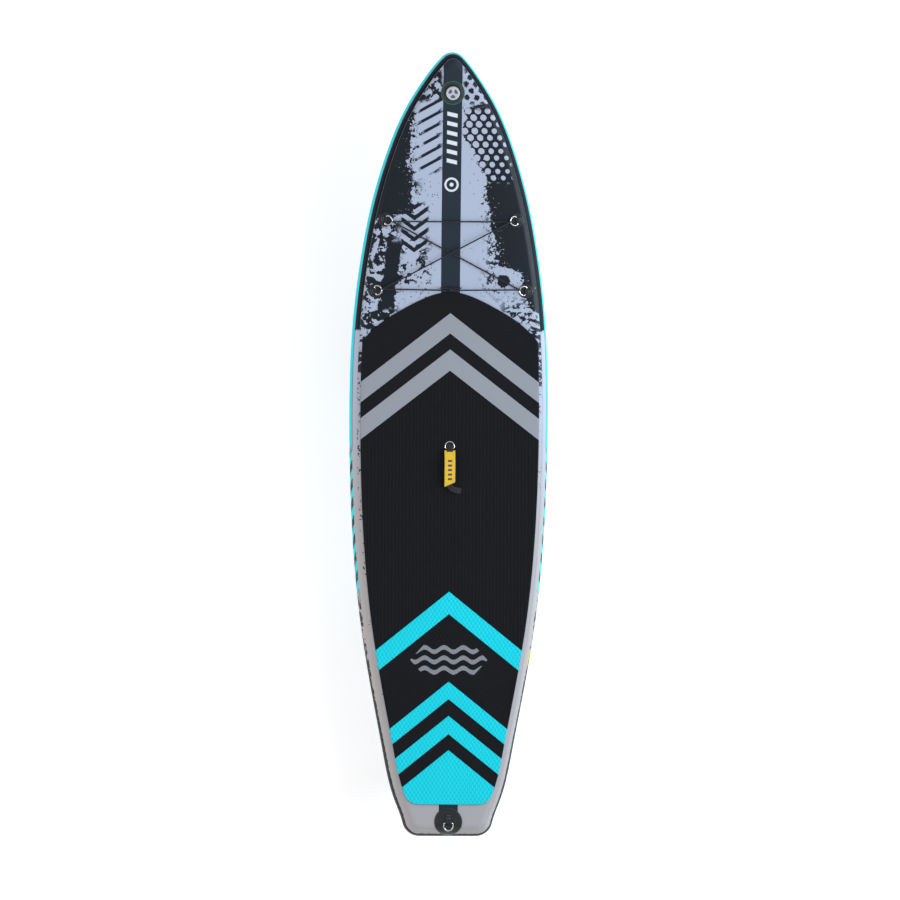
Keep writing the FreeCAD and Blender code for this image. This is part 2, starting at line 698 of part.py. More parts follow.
def valve():
    flange_z, collar_z, floor_z, arm_z = 3.2, 8.0, -34.0, -20.0
    body = turned([
        (21.0, collar_z), (COLLAR_R, collar_z), (COLLAR_R, flange_z),
        (VALVE_FLANGE_R - 1.2, flange_z), (VALVE_FLANGE_R, flange_z - 1.2),
        (VALVE_FLANGE_R, 0.4), (24.6, 0.4), (24.6, floor_z), (14.0, floor_z),
        (14.0, floor_z + 3), (21.0, floor_z + 3),
    ])
    stem_r, guide_r = 4.0, 4.08
    guide = Part.makeCylinder(guide_r, 3, V(0, 0, arm_z))
    hub = Part.makeCylinder(7.0, 3, V(0, 0, arm_z)).cut(guide)
    arms = []
    for k in range(3):
        arm = Part.makeBox(16.5, 4, 3, V(5.5, -2, arm_z))
        arm.rotate(V(0, 0, 0), UP, 120 * k + 90)
        arms.append(arm.cut(guide))
    body = body.fuse([hub] + arms).removeSplitter()
    nut = turned([(25.0, -2.0), (36.0, -2.0), (36.0, -5.0), (31.0, -10.0), (25.0, -10.0)])
    plunger = turned([
        (0, -5), (6.0, -5), (7.5, -6.5), (7.5, -9), (stem_r, -9), (stem_r, floor_z - 0.4),
        (17.0, floor_z - 0.4), (17.0, floor_z - 3), (stem_r, floor_z - 4.5), (0, floor_z - 4.5),
    ])
    coil = Part.makeHelix(1.9, 6.4, 5.6)
    coil.translate(V(0, 0, arm_z + 3 + 0.8))
    start = coil.Edges[0].Vertexes[0].Point
    wire = Part.Wire([Part.Circle(start, V(0, 1, 0), 0.5).toShape()])
    spring = Part.Wire(coil).makePipeShell([wire], True, True)
    seal = Part.makeTorus(22.5, 0.95, V(0, 0, collar_z + 1.3))
    cap = turned([
        (0, 10.6), (COLLAR_R + 0.4, 10.6), (COLLAR_R + 0.4, 3.8), (CAP_R - 0.6, 3.8),
        (CAP_R, 4.4), (CAP_R, 13.0), (CAP_R - 1.4, 14.4), (0, 14.4),
    ])
    for k in range(3):
        scoop = Part.makeCylinder(19.5, 5, V(0, 0, 12.0)).cut(
            Part.makeCylinder(7.0, 5, V(0, 0, 12.0)))
        wedge = extruded([V(0, 0, 12), V(40, -14, 12), V(40, 50, 12)], V(0, 0, 5))
        wedge.rotate(V(0, 0, 0), UP, 120 * k + 30)
        cap = cap.cut(scoop.common(wedge))
    ribs = []
    for k in range(30):
        rib = Part.makeCylinder(0.6, 7.5, V(CAP_R + 0.05, 0, 4.6))
        rib.rotate(V(0, 0, 0), UP, 12 * k)
        ribs.append(rib)
    cap = cap.cut(Part.makeCompound(ribs))
    patch = disc(49.0, 0, VALVE_Y).cut(disc(31.0, 0, VALVE_Y)).Faces[0]
    pieces = {
        "valve_body": body, "valve_nut": nut, "valve_plunger": plunger,
        "valve_spring": spring, "valve_cap_seal": seal, "valve_cap": cap,
    }
    nodes = {name: on_deck(shape, 0, VALVE_Y) for name, shape in pieces.items()}
    nodes["valve_patch"] = deck_layer(patch, *PATCH_LAYER)
    return nodes


# ---- fins ---------------------------------------------------------------------------------
FIN_Y = -1210.0            # middle of the fin box
BOX_HALF_LENGTH, BOX_HALF_WIDTH, BOX_DEPTH = 145.0, 17.0, 25.0
SLOT_HALF, GROOVE_HALF = 4.9, 8.5
GROOVE_Z = (-14.0, -8.0)


def foil(y_lead, y_trail, z, thick):
    """Closed lens-shaped section of a fin at height z."""
    chord = y_lead - y_trail
    shape = [(0.0, 0.0), (0.05, 0.55), (0.3, 1.0), (0.6, 0.8), (1.0, 0.12)]

    def side(sign):
        curve = Part.BSplineCurve()
        curve.interpolate([V(sign * thick / 2 * t, y_lead - chord * c, z) for c, t in shape])
        return curve

    right, left = side(1), side(-1)
    tail = Part.LineSegment(right.EndPoint, left.EndPoint)
    return Part.Wire(Part.__sortEdges__([right.toShape(), left.toShape(), tail.toShape()]))


def blade(root_lead, root_trail, root_z, depth, sweep, tip_chord, thick, stations=7):
    """Raked fin lofted from its root to its tip."""
    wires = []
    for i in range(stations):
        t = i / (stations - 1)
        fade = math.sqrt(max(0.0, 1 - (0.97 * t) ** 2.6))
        chord = tip_chord + (root_lead - root_trail - tip_chord) * fade ** 1.2 * (1 - 0.25 * t)
        lead = root_lead - sweep * t ** 1.5
        wires.append(foil(lead, lead - chord, root_z - depth * t, thick * (1 - 0.65 * t)))
    return Part.makeLoft(wires, True, False)


def under_hull():
    """Everything above the hull's glued face, to cut fittings to the bottom's curve."""
    return slab(-GLUE, 60)


def centre_fin():
    y0, y1 = FIN_Y - BOX_HALF_LENGTH, FIN_Y + BOX_HALF_LENGTH
    flange = column(oval(56.0, 176.0, 0, FIN_Y)).common(slab(-3.2, -GLUE))
    housing = Part.makeBox(2 * BOX_HALF_WIDTH, y1 - y0, BOX_DEPTH + 20, V(-BOX_HALF_WIDTH, y0, -BOX_DEPTH))
    rounded = [e for e in housing.Edges if abs(e.tangentAt(e.FirstParameter).z) > 0.9]
    housing = housing.makeFillet(14.0, rounded).cut(under_hull())
    box = flange.fuse(housing)
    slot = Part.makeBox(2 * SLOT_HALF, y1 - y0 - 20, BOX_DEPTH, V(-SLOT_HALF, y0 + 10, -BOX_DEPTH - 4))
    low, high = GROOVE_Z
    groove = Part.makeBox(2 * GROOVE_HALF, y1 - y0 - 20, high - low, V(-GROOVE_HALF, y0 + 10, low))
    drop_in = Part.makeBox(2 * GROOVE_HALF, 14, 20, V(-GROOVE_HALF, FIN_Y - 7, -BOX_DEPTH - 4))
    drop_in = drop_in.common(Part.makeBox(100, 100, 20, V(-50, FIN_Y - 50, -BOX_DEPTH - 4)))
    box = box.cut(slot.fuse([groove, drop_in]))

    tab_half, lead, trail = SLOT_HALF - 0.3, FIN_Y + 85, FIN_Y - 100
    front_len, pin_y, screw_y = 27.0, FIN_Y - 86, FIN_Y + 71
    base = Part.makeBox(2 * tab_half, lead - trail, 18.5, V(-tab_half, trail, -BOX_DEPTH + 1))
    notch = Part.makeBox(20, front_len, 30, V(-10, lead - front_len, GROOVE_Z[0] - 1.5))
    foot = Part.makeBox(2 * tab_half, lead - front_len - trail, 5, V(-tab_half, trail, -BOX_DEPTH - 3))
    fin = base.cut(notch).fuse(foot)
    fin = fin.fuse(blade(lead - front_len, trail - 4, -BOX_DEPTH - 1, 205, 118, 20, 9.0))
    pin_z = (GROOVE_Z[0] + GROOVE_Z[1]) / 2
    pin_hole = Part.makeCylinder(2.45, 40, V(-20, pin_y, pin_z), V(1, 0, 0))
    screw_hole = Part.makeCylinder(2.05, 40, V(0, screw_y, -40), UP)
    fin = fin.cut(pin_hole.fuse(screw_hole)).removeSplitter()
    pin = Part.makeCylinder(2.4, 15.4, V(-7.7, pin_y, pin_z), V(1, 0, 0))
    nut = Part.makeBox(15.6, 12, 3.5, V(-7.8, screw_y - 6, GROOVE_Z[0] + 1)).cut(screw_hole)
    screw = Part.makeCylinder(1.95, 16.5, V(0, screw_y, -BOX_DEPTH), UP)
    head = Part.makeCylinder(3.9, 3.2, V(0, screw_y, -BOX_DEPTH - 2.4), UP)
    drive = Part.makeBox(1.0, 10, 1.4, V(-0.5, screw_y - 5, -BOX_DEPTH - 2.6))
    return {
        "fin_box": box, "fin_blade": fin, "fin_pin": pin, "fin_nut_plate": nut,
        "fin_screw": screw.fuse(head).cut(drive).removeSplitter(),
    }


SIDE_FIN_X, SIDE_FIN_Y = 165.0, -1190.0


def side_fins():
    foot = column(oval(24.0, 82.0, 0, SIDE_FIN_Y)).common(slab(-3.4, -GLUE))
    fin = blade(SIDE_FIN_Y + 66, SIDE_FIN_Y - 60, -2.2, 104, 62, 12, 7.0)
    one = foot.fuse(fin.cut(under_hull())).removeSplitter()
    nodes = {}
    for name, x in (("side_fin_starboard", SIDE_FIN_X), ("side_fin_port", -SIDE_FIN_X)):
        placed = one.copy()
        placed.translate(V(x, 0, 0))
        nodes[name] = placed
    return nodes


# ---- all of it ----------------------------------------------------------------------------
def build():
    nodes = {}
    for group in (
        hull, traction_pad, bungee_rings, leash_point, bungee, carry_handle, valve,
        centre_fin, side_fins,
    ):
        nodes.update(group())
    return nodes


def main():
    os.makedirs("parts", exist_ok=True)
    for name, shape in build().items():
        solids = shape.Solids
        whole = solids[0] if len(solids) == 1 else Part.makeCompound(solids)
        if not solids or not whole.isValid():
            print("CHECK", name, "solids", len(solids), "valid", whole.isValid())
        whole.exportStep(f"parts/{name}.step")


if __name__ == "__main__":
    main()
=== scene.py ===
"""Looks of an inflatable stand up paddleboard. Metres; +Y to the nose, +X starboard, +Z up."""

import math

import bpy
import numpy as np
from mathutils import Matrix, Vector


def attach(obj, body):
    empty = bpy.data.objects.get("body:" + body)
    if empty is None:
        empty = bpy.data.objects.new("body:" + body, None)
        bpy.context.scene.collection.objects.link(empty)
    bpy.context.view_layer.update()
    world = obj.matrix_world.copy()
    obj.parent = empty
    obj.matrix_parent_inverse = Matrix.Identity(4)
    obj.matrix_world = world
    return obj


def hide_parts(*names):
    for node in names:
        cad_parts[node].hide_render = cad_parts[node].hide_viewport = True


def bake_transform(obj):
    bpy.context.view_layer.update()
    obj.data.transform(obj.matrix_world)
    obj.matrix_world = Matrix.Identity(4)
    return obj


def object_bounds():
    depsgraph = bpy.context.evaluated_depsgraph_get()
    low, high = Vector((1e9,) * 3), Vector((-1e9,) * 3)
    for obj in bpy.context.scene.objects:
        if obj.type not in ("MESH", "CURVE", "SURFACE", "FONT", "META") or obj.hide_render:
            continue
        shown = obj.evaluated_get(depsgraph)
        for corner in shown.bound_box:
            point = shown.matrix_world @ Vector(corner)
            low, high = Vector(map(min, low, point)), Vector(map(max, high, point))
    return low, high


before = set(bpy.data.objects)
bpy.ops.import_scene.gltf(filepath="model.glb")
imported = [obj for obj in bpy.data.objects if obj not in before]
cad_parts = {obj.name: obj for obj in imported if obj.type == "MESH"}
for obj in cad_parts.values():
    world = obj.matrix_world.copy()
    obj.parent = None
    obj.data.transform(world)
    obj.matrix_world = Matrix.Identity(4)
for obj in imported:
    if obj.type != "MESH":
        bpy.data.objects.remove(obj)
cad_low, cad_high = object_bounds()

# ---- sizes ----
HALF_LENGTH = 1.6
THICK = 0.15
MID = THICK / 2
EDGE = 0.05                    # width of the rounded rail outside the flat deck
BAND = 0.0015                  # the rail band stands this far off the skin
BAND_TURN = 27.0               # degrees round from the deck where the band begins
NOSE_ROCKER, NOSE_START = 0.150, 0.200
TAIL_ROCKER, TAIL_START = 0.025, -1.000
NOSE_TIP_R, TAIL_CORNER_R, TAIL_CORNER_X = 0.060, 0.070, 0.115
NOSE_HALF_ANGLE, TAIL_FLARE = math.radians(45), math.radians(13.5)
SIDE_POINTS = [
    (0.218, -1.448), (0.265, -1.253), (0.353, -0.763), (0.392, -0.371), (0.4064, 0.069),
    (0.3935, 0.510), (0.357, 0.804), (0.318, 1.000), (0.261, 1.195), (0.1775, 1.391),
    (0.1163, 1.489),
]
STRIPE_HALF = 0.039            # black centre stripe of the print
PAD_INSET = 0.041
PAD_BASE, PAD_TOP = 0.0004, 0.0055
PAD_REAR, PAD_REAR_HALF, PAD_CORNER_R = -1.470, 0.1206, 0.062
PAD_FRONT = [(0.0, 0.622), (0.177, 0.561), (0.295, 0.486), (0.368, 0.410)]
CUT = 0.0006                   # half the cut line between two foam pieces
FOAM_EDGE, FOAM_ROUND = 0.0012, 0.0009    # width and drop of a foam piece's rounded edge
SLOPE_FRONT, SLOPE_REAR = 0.775, 0.805
GROOVE_PITCH, GROOVE_HALF, GROOVE_WALL, GROOVE_DEEP = 0.0143, 0.0022, 0.0008, 0.0011
DIAMOND, DIAMOND_LONG = 0.0165, 1.55      # width of a pressed scale, length over width
SCALE_HIGH, SCALE_STEP, PLAIN_STEP = 0.0022, 0.0026, 0.008
VALVE_Y = 1.433
VALVE_RING = (0.031, 0.049)
CAP_R, CAP_TOP, CAP_FOOT = 0.028, 0.0144, 0.0042
PATCH = (0.0003, 0.0015)       # low and high face of a welded patch above the skin
WIRE, WIRE_GAP = 0.0025, 0.0003           # D-ring wire, and the webbing's play round it
CORD = 0.0029                  # bungee cord
RING_HALF, RING_LEG, RING_TILT = 0.0185, 0.008, math.radians(11)
BAR = 0.0063                   # middle of a D-ring's bar above the deck
WEB, WEB_THICK, TAB_LIFT = 0.025, 0.0016, 0.0019
BUNGEE_PATCH_R, BUNGEE_TAB = 0.029, 0.021
RINGS = {                      # x and y of the bar, direction of the ring's round end
    "front_port": (-0.268, 0.916, -13.0),
    "front_starboard": (0.268, 0.916, 193.0),
    "rear_port": (-0.308, 0.627, 13.0),
    "rear_starboard": (0.308, 0.627, 167.0),
}
WRAP = WIRE + CORD + 0.0005    # cord's middle to the wire's middle
KNOT_Y, TAIL_STEP, TAIL_REACH = 0.631, 0.006, 0.044
TAIL_LOW, TAIL_HIGH = 0.0095, 0.0156           # heights of the two crossing ends above the deck
KNOT_R, KNOT_WIRE, KNOT_HALF, KNOT_LIFT, KNOT_TURNS = 0.0072, 0.0024, 0.0056, 0.0125, 2.6
LEASH_Y, LEASH_PATCH_Y, LEASH_PATCH_R, LEASH_TAB = -1.546, -1.540, 0.057, 0.036
HANDLE_BAR_Y, HANDLE_BAR_LIFT, ARCH_REAR = -0.016, 0.0039, -0.176
HANDLE_FOOT, HANDLE_TOP, HANDLE_WEB = 0.0105, 0.027, 0.002
HANDLE_FRONT, HANDLE_REAR, STRAP_RISE_Y = 0.003, (0.046, -0.189), -0.030
SLEEVE_FRONT, SLEEVE_REAR, SLEEVE_HALF, SLEEVE_THICK = -0.024, -0.164, 0.022, 0.0072

BLACK = (0.003, 0.005, 0.009)
LIGHT, LIGHT_REAR = (0.385, 0.430, 0.545), (0.375, 0.357, 0.362)
TURQUOISE = (0.004, 0.56, 0.66)


# ---- rocker and outline ----
def arc_radius(run, rise):
    return (run * run + rise * rise) / (2 * rise)


NOSE_R = arc_radius(HALF_LENGTH - NOSE_START, NOSE_ROCKER)
TAIL_R = arc_radius(HALF_LENGTH + TAIL_START, TAIL_ROCKER)


def lift(y):
    """Height that the rocker adds at y, for numbers or arrays."""
    ahead = np.maximum(y - NOSE_START, 0.0)
    behind = np.minimum(y - TAIL_START, 0.0)
    nose = NOSE_R - np.sqrt(NOSE_R**2 - ahead**2)
    tail = TAIL_R - np.sqrt(TAIL_R**2 - behind**2)
    return nose + tail


def slope(y):
    ahead, behind = max(y - NOSE_START, 0.0), min(y - TAIL_START, 0.0)
    return math.asin(ahead / NOSE_R) + math.asin(behind / TAIL_R)


def clamped_spline(points, start, end, steps):
    """Cubic spline through points with unit end tangents: its points and unit tangents."""
    p = np.array(points, float)
    h = np.linalg.norm(np.diff(p, axis=0), axis=1)
    d = np.diff(p, axis=0) / h[:, None]
    n = len(p)
    a, b = np.eye(n), np.zeros((n, 2))
    b[0], b[-1] = start, end
    for i in range(1, n - 1):
        a[i, i - 1], a[i, i], a[i, i + 1] = h[i], 2 * (h[i - 1] + h[i]), h[i - 1]
        b[i] = 3 * (h[i] * d[i - 1] + h[i - 1] * d[i])
    m = np.linalg.solve(a, b)
    found, along = [], []
    for i in range(n - 1):
        t = np.linspace(0, 1, steps, endpoint=i == n - 2)[:, None]
        q, r, hi = p[i], p[i + 1], h[i]
        found.append(
            (2 * t**3 - 3 * t**2 + 1) * q + (t**3 - 2 * t**2 + t) * hi * m[i]
            + (3 * t**2 - 2 * t**3) * r + (t**3 - t**2) * hi * m[i + 1]
        )
        along.append(
            (6 * t**2 - 6 * t) * q + (3 * t**2 - 4 * t + 1) * hi * m[i]
            + (6 * t - 6 * t**2) * r + (3 * t**2 - 2 * t) * hi * m[i + 1]
        )
    found, along = np.concatenate(found), np.concatenate(along)
    return found, along / np.linalg.norm(along, axis=1)[:, None]


def widest_line():
    """Starboard outline from tail centre to nose centre: points and outward normals."""
    tail_x = np.linspace(0, TAIL_CORNER_X, 9)[:-1]
    points = [np.column_stack([tail_x, np.full(8, -HALF_LENGTH)])]
    normals = [np.tile([0.0, -1.0], (8, 1))]

    def arc(centre, radius, start, end):
        a = np.linspace(start, end, 15)
        n = np.column_stack([np.cos(a), np.sin(a)])
        return np.array(centre) + n * radius, n

    corner = arc(
        (TAIL_CORNER_X, -HALF_LENGTH + TAIL_CORNER_R), TAIL_CORNER_R, -math.pi / 2, -TAIL_FLARE
    )
    nose = arc((0, HALF_LENGTH - NOSE_TIP_R), NOSE_TIP_R, NOSE_HALF_ANGLE, math.pi / 2)
    side, along = clamped_spline(
        [corner[0][-1], *SIDE_POINTS, nose[0][0]],
        (math.sin(TAIL_FLARE), math.cos(TAIL_FLARE)),
        (-math.sin(NOSE_HALF_ANGLE), math.cos(NOSE_HALF_ANGLE)),
        16,
    )
    across = np.column_stack([along[:, 1], -along[:, 0]])
    points += [corner[0][:-1], side[:-1], nose[0]]
    normals += [corner[1][:-1], across[:-1], nose[1]]
    return np.concatenate(points), np.concatenate(normals)


RIM, OUT = widest_line()


def inset_line(inset):
    return RIM - OUT * inset


def rim_distance(x, y):
    """How far inside the board's widest line points are, for arrays."""
    a, b = RIM[:-1], RIM[1:]
    ab = b - a
    p = np.column_stack([np.abs(x).ravel(), np.ravel(y)])
    best = np.full(len(p), 9.0)
    for a1, ab1 in zip(a, ab):
        rel = p - a1
        t = np.clip(rel @ ab1 / (ab1 @ ab1), 0, 1)
        best = np.minimum(best, np.hypot(*(rel - t[:, None] * ab1).T))
    return best.reshape(np.shape(x))


def deck_height(x, y):
    """Height of the deck's surface, rolled off at the rails, for arrays."""
    past = np.clip(EDGE - rim_distance(x, y), 0, EDGE * 0.98)
    return MID + MID * np.sqrt(1 - (past / EDGE) ** 2) + lift(y)


def deck_matrix(x, y, turn=0.0, height=0.0):
    """Frame on the deck: local +Z is its normal, turned by degrees about it."""
    tilt = Matrix.Rotation(slope(y), 4, "X") @ Matrix.Rotation(math.radians(turn), 4, "Z")
    return Matrix.Translation((x, y, THICK + float(lift(y)))) @ tilt @ Matrix.Translation(
        (0, 0, height)
    )


# ---- meshes ----
def new_piece(name, vertices, faces, look, body, nodes=(), uv=None, sharp=40.0):
    """Mesh piece of the board that rides on a CAD body and stands for CAD nodes."""
    material, slot = LOOKS[look]
    mesh = bpy.data.meshes.new(name)
    mesh.from_pydata([tuple(map(float, v)) for v in vertices], [], faces)
    if uv is not None:
        layer = mesh.uv_layers.new(name="along")
        index = np.zeros(len(mesh.loops), int)
        mesh.loops.foreach_get("vertex_index", index)
        layer.data.foreach_set("uv", np.asarray(uv, np.float32)[index].ravel())
    mesh.validate()
    mesh.materials.append(material)
    mesh.shade_smooth()
    mesh.set_sharp_from_angle(angle=math.radians(sharp))
    piece = bpy.data.objects.new(name, mesh)
    bpy.context.scene.collection.objects.link(piece)
    if body:
        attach(piece, body)
    if nodes:
        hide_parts(*nodes)
    return piece


def grid_faces(rows, columns, wrapped=False):
    """Faces of a grid whose vertices run row by row; wrapped joins its last column to its first."""
    i = np.arange(rows - 1)[:, None] * columns
    j = np.arange(columns if wrapped else columns - 1)[None, :]
    j2 = (j + 1) % columns
    return np.stack([i + j, i + j2, i + columns + j2, i + columns + j], axis=-1).reshape(-1, 4).tolist()


def tube_faces(rows, columns):
    """Faces of a tube whose vertices run ring by ring, with a flat cap at each end."""
    ring = list(range(columns))
    return grid_faces(rows, columns, True) + [ring[::-1], [(rows - 1) * columns + k for k in ring]]


def sweep(path, section, sides):
    """Vertices, faces and (distance, share) marks of a section carried along a path.

    section is a list of (across, up) points; sides gives the across direction at each point.
    """
    path = np.array(path, float)
    section = np.array(section, float)
    ahead = np.gradient(path, axis=0)
    ahead /= np.linalg.norm(ahead, axis=1)[:, None]
    across = np.array(sides, float)
    across = across - ahead * np.sum(across * ahead, axis=1)[:, None]
    across /= np.linalg.norm(across, axis=1)[:, None]
    up = np.cross(across, ahead)
    points = (
        path[:, None] + across[:, None] * section[None, :, :1] + up[:, None] * section[None, :, 1:]
    )
    steps = np.linalg.norm(np.diff(path, axis=0), axis=1)
    distance = np.concatenate([[0], np.cumsum(steps)])
    share = np.linspace(0, 1, len(section), endpoint=False)
    marks = np.stack(np.meshgrid(distance, share, indexing="ij"), axis=-1)
    return points.reshape(-1, 3), tube_faces(len(path), len(section)), marks.reshape(-1, 2)


def circle(radius, count):
    a = np.linspace(0, 2 * math.pi, count, endpoint=False)
    return [(radius * math.cos(t), radius * math.sin(t)) for t in a]


def strap_section(width, thick):
    """Flat oblong with rounded edges."""
    half, r = width / 2 - thick / 2, thick / 2
    right = [(half + r * math.cos(a), r * math.sin(a)) for a in np.linspace(-1.3, 1.3, 5)]
    left = [(-x, -y) for x, y in right]
    mid = [(half * t, r) for t in (0.5, 0.0, -0.5)]
    return right + mid + left + [(-x, -y) for x, y in mid]


def carried_sides(path):
    """Across directions that turn as little as they can along a path."""
    path = np.array(path, float)
    ahead = np.gradient(path, axis=0)
    side = np.cross(ahead[0], (0, 0, 1))
    found = []
    for a in ahead:
        a = a / np.linalg.norm(a)
        side = side - a * (side @ a)
        side = side / np.linalg.norm(side)
        found.append(side)
    return found


def moved(points, matrix):
    m = np.array(matrix)
    return np.asarray(points) @ m[:3, :3].T + m[:3, 3]


# ---- shader arithmetic ----
def feed(tree, socket, value):
    if isinstance(value, Value):
        tree.links.new(value.socket, socket)
    else:
        socket.default_value = value


class Value:
    """A number in a shader tree that ordinary arithmetic works on."""

    def __init__(self, tree, socket):
        self.tree, self.socket = tree, socket

    def math(self, operation, *others):
        node = self.tree.nodes.new("ShaderNodeMath")
        node.operation = operation
        for socket, value in zip(node.inputs, (self, *others)):
            feed(self.tree, socket, value)
        return Value(self.tree, node.outputs[0])

    def __add__(self, other):
        return self.math("ADD", other)

    def __sub__(self, other):
        return self.math("SUBTRACT", other)

    def __rsub__(self, other):
        return self * -1.0 + other

    def __mul__(self, other):
        return self.math("MULTIPLY", other)

    def __truediv__(self, other):
        return self.math("DIVIDE", other)

    def __abs__(self):
        return self.math("ABSOLUTE")

    __radd__, __rmul__ = __add__, __mul__

    def part(self):
        return self.math("FRACT")

    def least(self, other):
        return self.math("MINIMUM", other)

    def most(self, other):
        return self.math("MAXIMUM", other)

    def above(self, edge, soft=0.0006):
        """1 where this is above the edge, 0 below."""
        node = self.tree.nodes.new("ShaderNodeMapRange")
        node.interpolation_type = "SMOOTHSTEP"
        feed(self.tree, node.inputs["Value"], self - edge)
        node.inputs["From Min"].default_value = -soft
        node.inputs["From Max"].default_value = soft
        return Value(self.tree, node.outputs[0])

    def between(self, low, high, soft=0.0006):
        return self.above(low, soft) * (1 - self.above(high, soft))

    def curve(self, points, low, high, top):
        """A line through (input, output) points; inputs from low to high, outputs up to top."""
        node = self.tree.nodes.new("ShaderNodeFloatCurve")
        feed(self.tree, node.inputs["Value"], (self - low) * (1 / (high - low)))
        line = node.mapping.curves[0]
        while len(line.points) < len(points):
            line.points.new(0.5, 0.5)
        for point, (x, y) in zip(line.points, sorted(points)):
            point.location = ((x - low) / (high - low), y / top)
            point.handle_type = "VECTOR"
        node.mapping.update()
        return Value(self.tree, node.outputs[0]) * top


NOISE_ROUGH = 0.55


class Paint:
    """A material under construction: coordinates, textures and the finished surface."""

    def __init__(self, name):
        self.material = bpy.data.materials.new(name)
        self.material.use_nodes = True
        self.tree = self.material.node_tree
        self.shader = self.tree.nodes["Principled BSDF"]
        place = self.tree.nodes.new("ShaderNodeTexCoord")
        split = self.tree.nodes.new("ShaderNodeSeparateXYZ")
        self.tree.links.new(place.outputs["Object"], split.inputs[0])
        self.x, self.y, self.z = [Value(self.tree, s) for s in split.outputs]

    def marks(self):
        """The two numbers that a swept piece carries: distance along it and turn round it."""
        node = self.tree.nodes.new("ShaderNodeUVMap")
        node.uv_map = "along"
        split = self.tree.nodes.new("ShaderNodeSeparateXYZ")
        self.tree.links.new(node.outputs[0], split.inputs[0])
        return Value(self.tree, split.outputs[0]), Value(self.tree, split.outputs[1])

    def vector(self, x, y, z=0.0):
        node = self.tree.nodes.new("ShaderNodeCombineXYZ")
        for socket, value in zip(node.inputs, (x, y, z)):
            feed(self.tree, socket, value)
        return Value(self.tree, node.outputs[0])

    def noise(self, scale, detail):
        """Cloudy noise from about -0.5 to 0.5."""
        node = self.tree.nodes.new("ShaderNodeTexNoise")
        feed(self.tree, node.inputs["Vector"], self.vector(self.x, self.y, self.z))
        node.inputs["Scale"].default_value = scale
        node.inputs["Detail"].default_value = detail
        node.inputs["Roughness"].default_value = NOISE_ROUGH
        return Value(self.tree, node.outputs["Fac"]) - 0.5

    def cells(self, scale, at=None):
        """Distance to the nearest of many scattered points, in cell sizes."""
        node = self.tree.nodes.new("ShaderNodeTexVoronoi")
        at = at or self.vector(self.x, self.y, 0.0)
        feed(self.tree, node.inputs["Vector"], at)
        node.inputs["Scale"].default_value = scale
        return Value(self.tree, node.outputs["Distance"])

    def mix(self, share, low, high):
        """A colour that goes from low to high."""
        node = self.tree.nodes.new("ShaderNodeMix")
        node.data_type = "RGBA"
        feed(self.tree, node.inputs["Factor"], share)
        ends = [s for s in node.inputs if s.type == "RGBA"]
        for socket, colour in zip(ends, (low, high)):
            feed(self.tree, socket, solid(colour))
        return Value(self.tree, [s for s in node.outputs if s.type == "RGBA"][0])

    def finish(self, colour, rough, height=None, distance=0.001, strength=1.0, **more):
        """Connects colour, roughness and bump, and returns the material."""
        feed(self.tree, self.shader.inputs["Base Color"], solid(colour))
        feed(self.tree, self.shader.inputs["Roughness"], rough)
        for name, value in more.items():
            feed(self.tree, self.shader.inputs[name.replace("_", " ")], value)
        if height is not None:
            bump = self.tree.nodes.new("ShaderNodeBump")
            bump.inputs["Distance"].default_value = distance
            bump.inputs["Strength"].default_value = strength
            feed(self.tree, bump.inputs["Height"], height)
            self.tree.links.new(bump.outputs[0], self.shader.inputs["Normal"])
        return self.material


def solid(colour):
    if isinstance(colour, Value) or len(colour) == 4:
        return colour
    return (*colour, 1.0)


# ---- prints ----
INK_BOXES = {                  # parts of the deck's print: x from and to, y from and to
    "light_dots": (0.030, 0.245, 1.075, 1.372),
    "nose_dots": (0.045, 0.200, 1.385, 1.540),
    "nose_mess": (-0.240, -0.042, 1.395, 1.620),
    "torn": (-0.210, -0.115, 1.030, 1.400),
    "light_bars": (-0.150, -0.062, 1.085, 1.400),
    "dark_bars": (-0.130, -0.045, 1.115, 1.420),
    "slit": (-0.0840, -0.0805, 1.180, 1.380),
    "vees": (-0.205, -0.095, 0.775, 0.985),
    "left_mess": (-0.400, -0.215, 0.420, 0.965),
    "column": (-0.500, 0.000, 0.545, 0.830),
    "smear": (-0.290, -0.070, 0.600, 0.860),
    "edge_mess": (-0.420, -0.330, 0.300, 0.480),
    "right_mess": (0.150, 0.235, 0.620, 0.930),
    "lower_mess": (0.220, 0.400, 0.400, 0.600),
    "hatch": (0.325, 0.395, 0.245, 0.520),
    "hatch_side": (0.345, 0.375, 0.220, 0.470),
}


def box(p, name, soft, wander):
    """1 inside a box of the print, with ragged edges from the noise that it wanders by."""
    x0, x1, y0, y1 = INK_BOXES[name]
    return (p.x + wander).between(x0, x1, soft) * (p.y + wander).between(y0, y1, soft)


def distance_from(p, x, y):
    dx, dy = p.x - x, p.y - y
    return (dx * dx + dy * dy).math("SQRT")


def lattice(p, pitch_x, pitch_y, skew):
    """Distance to the nearest point of a staggered lattice."""
    x, y = p.x + p.y * skew, p.y

    def nearest(shift):
        dx = ((x / pitch_x + shift).part() - 0.5) * pitch_x
        dy = ((y / (2 * pitch_y) + shift).part() - 0.5) * (2 * pitch_y)
        return (dx * dx + dy * dy).math("SQRT")

    return nearest(0.0).least(nearest(0.5))


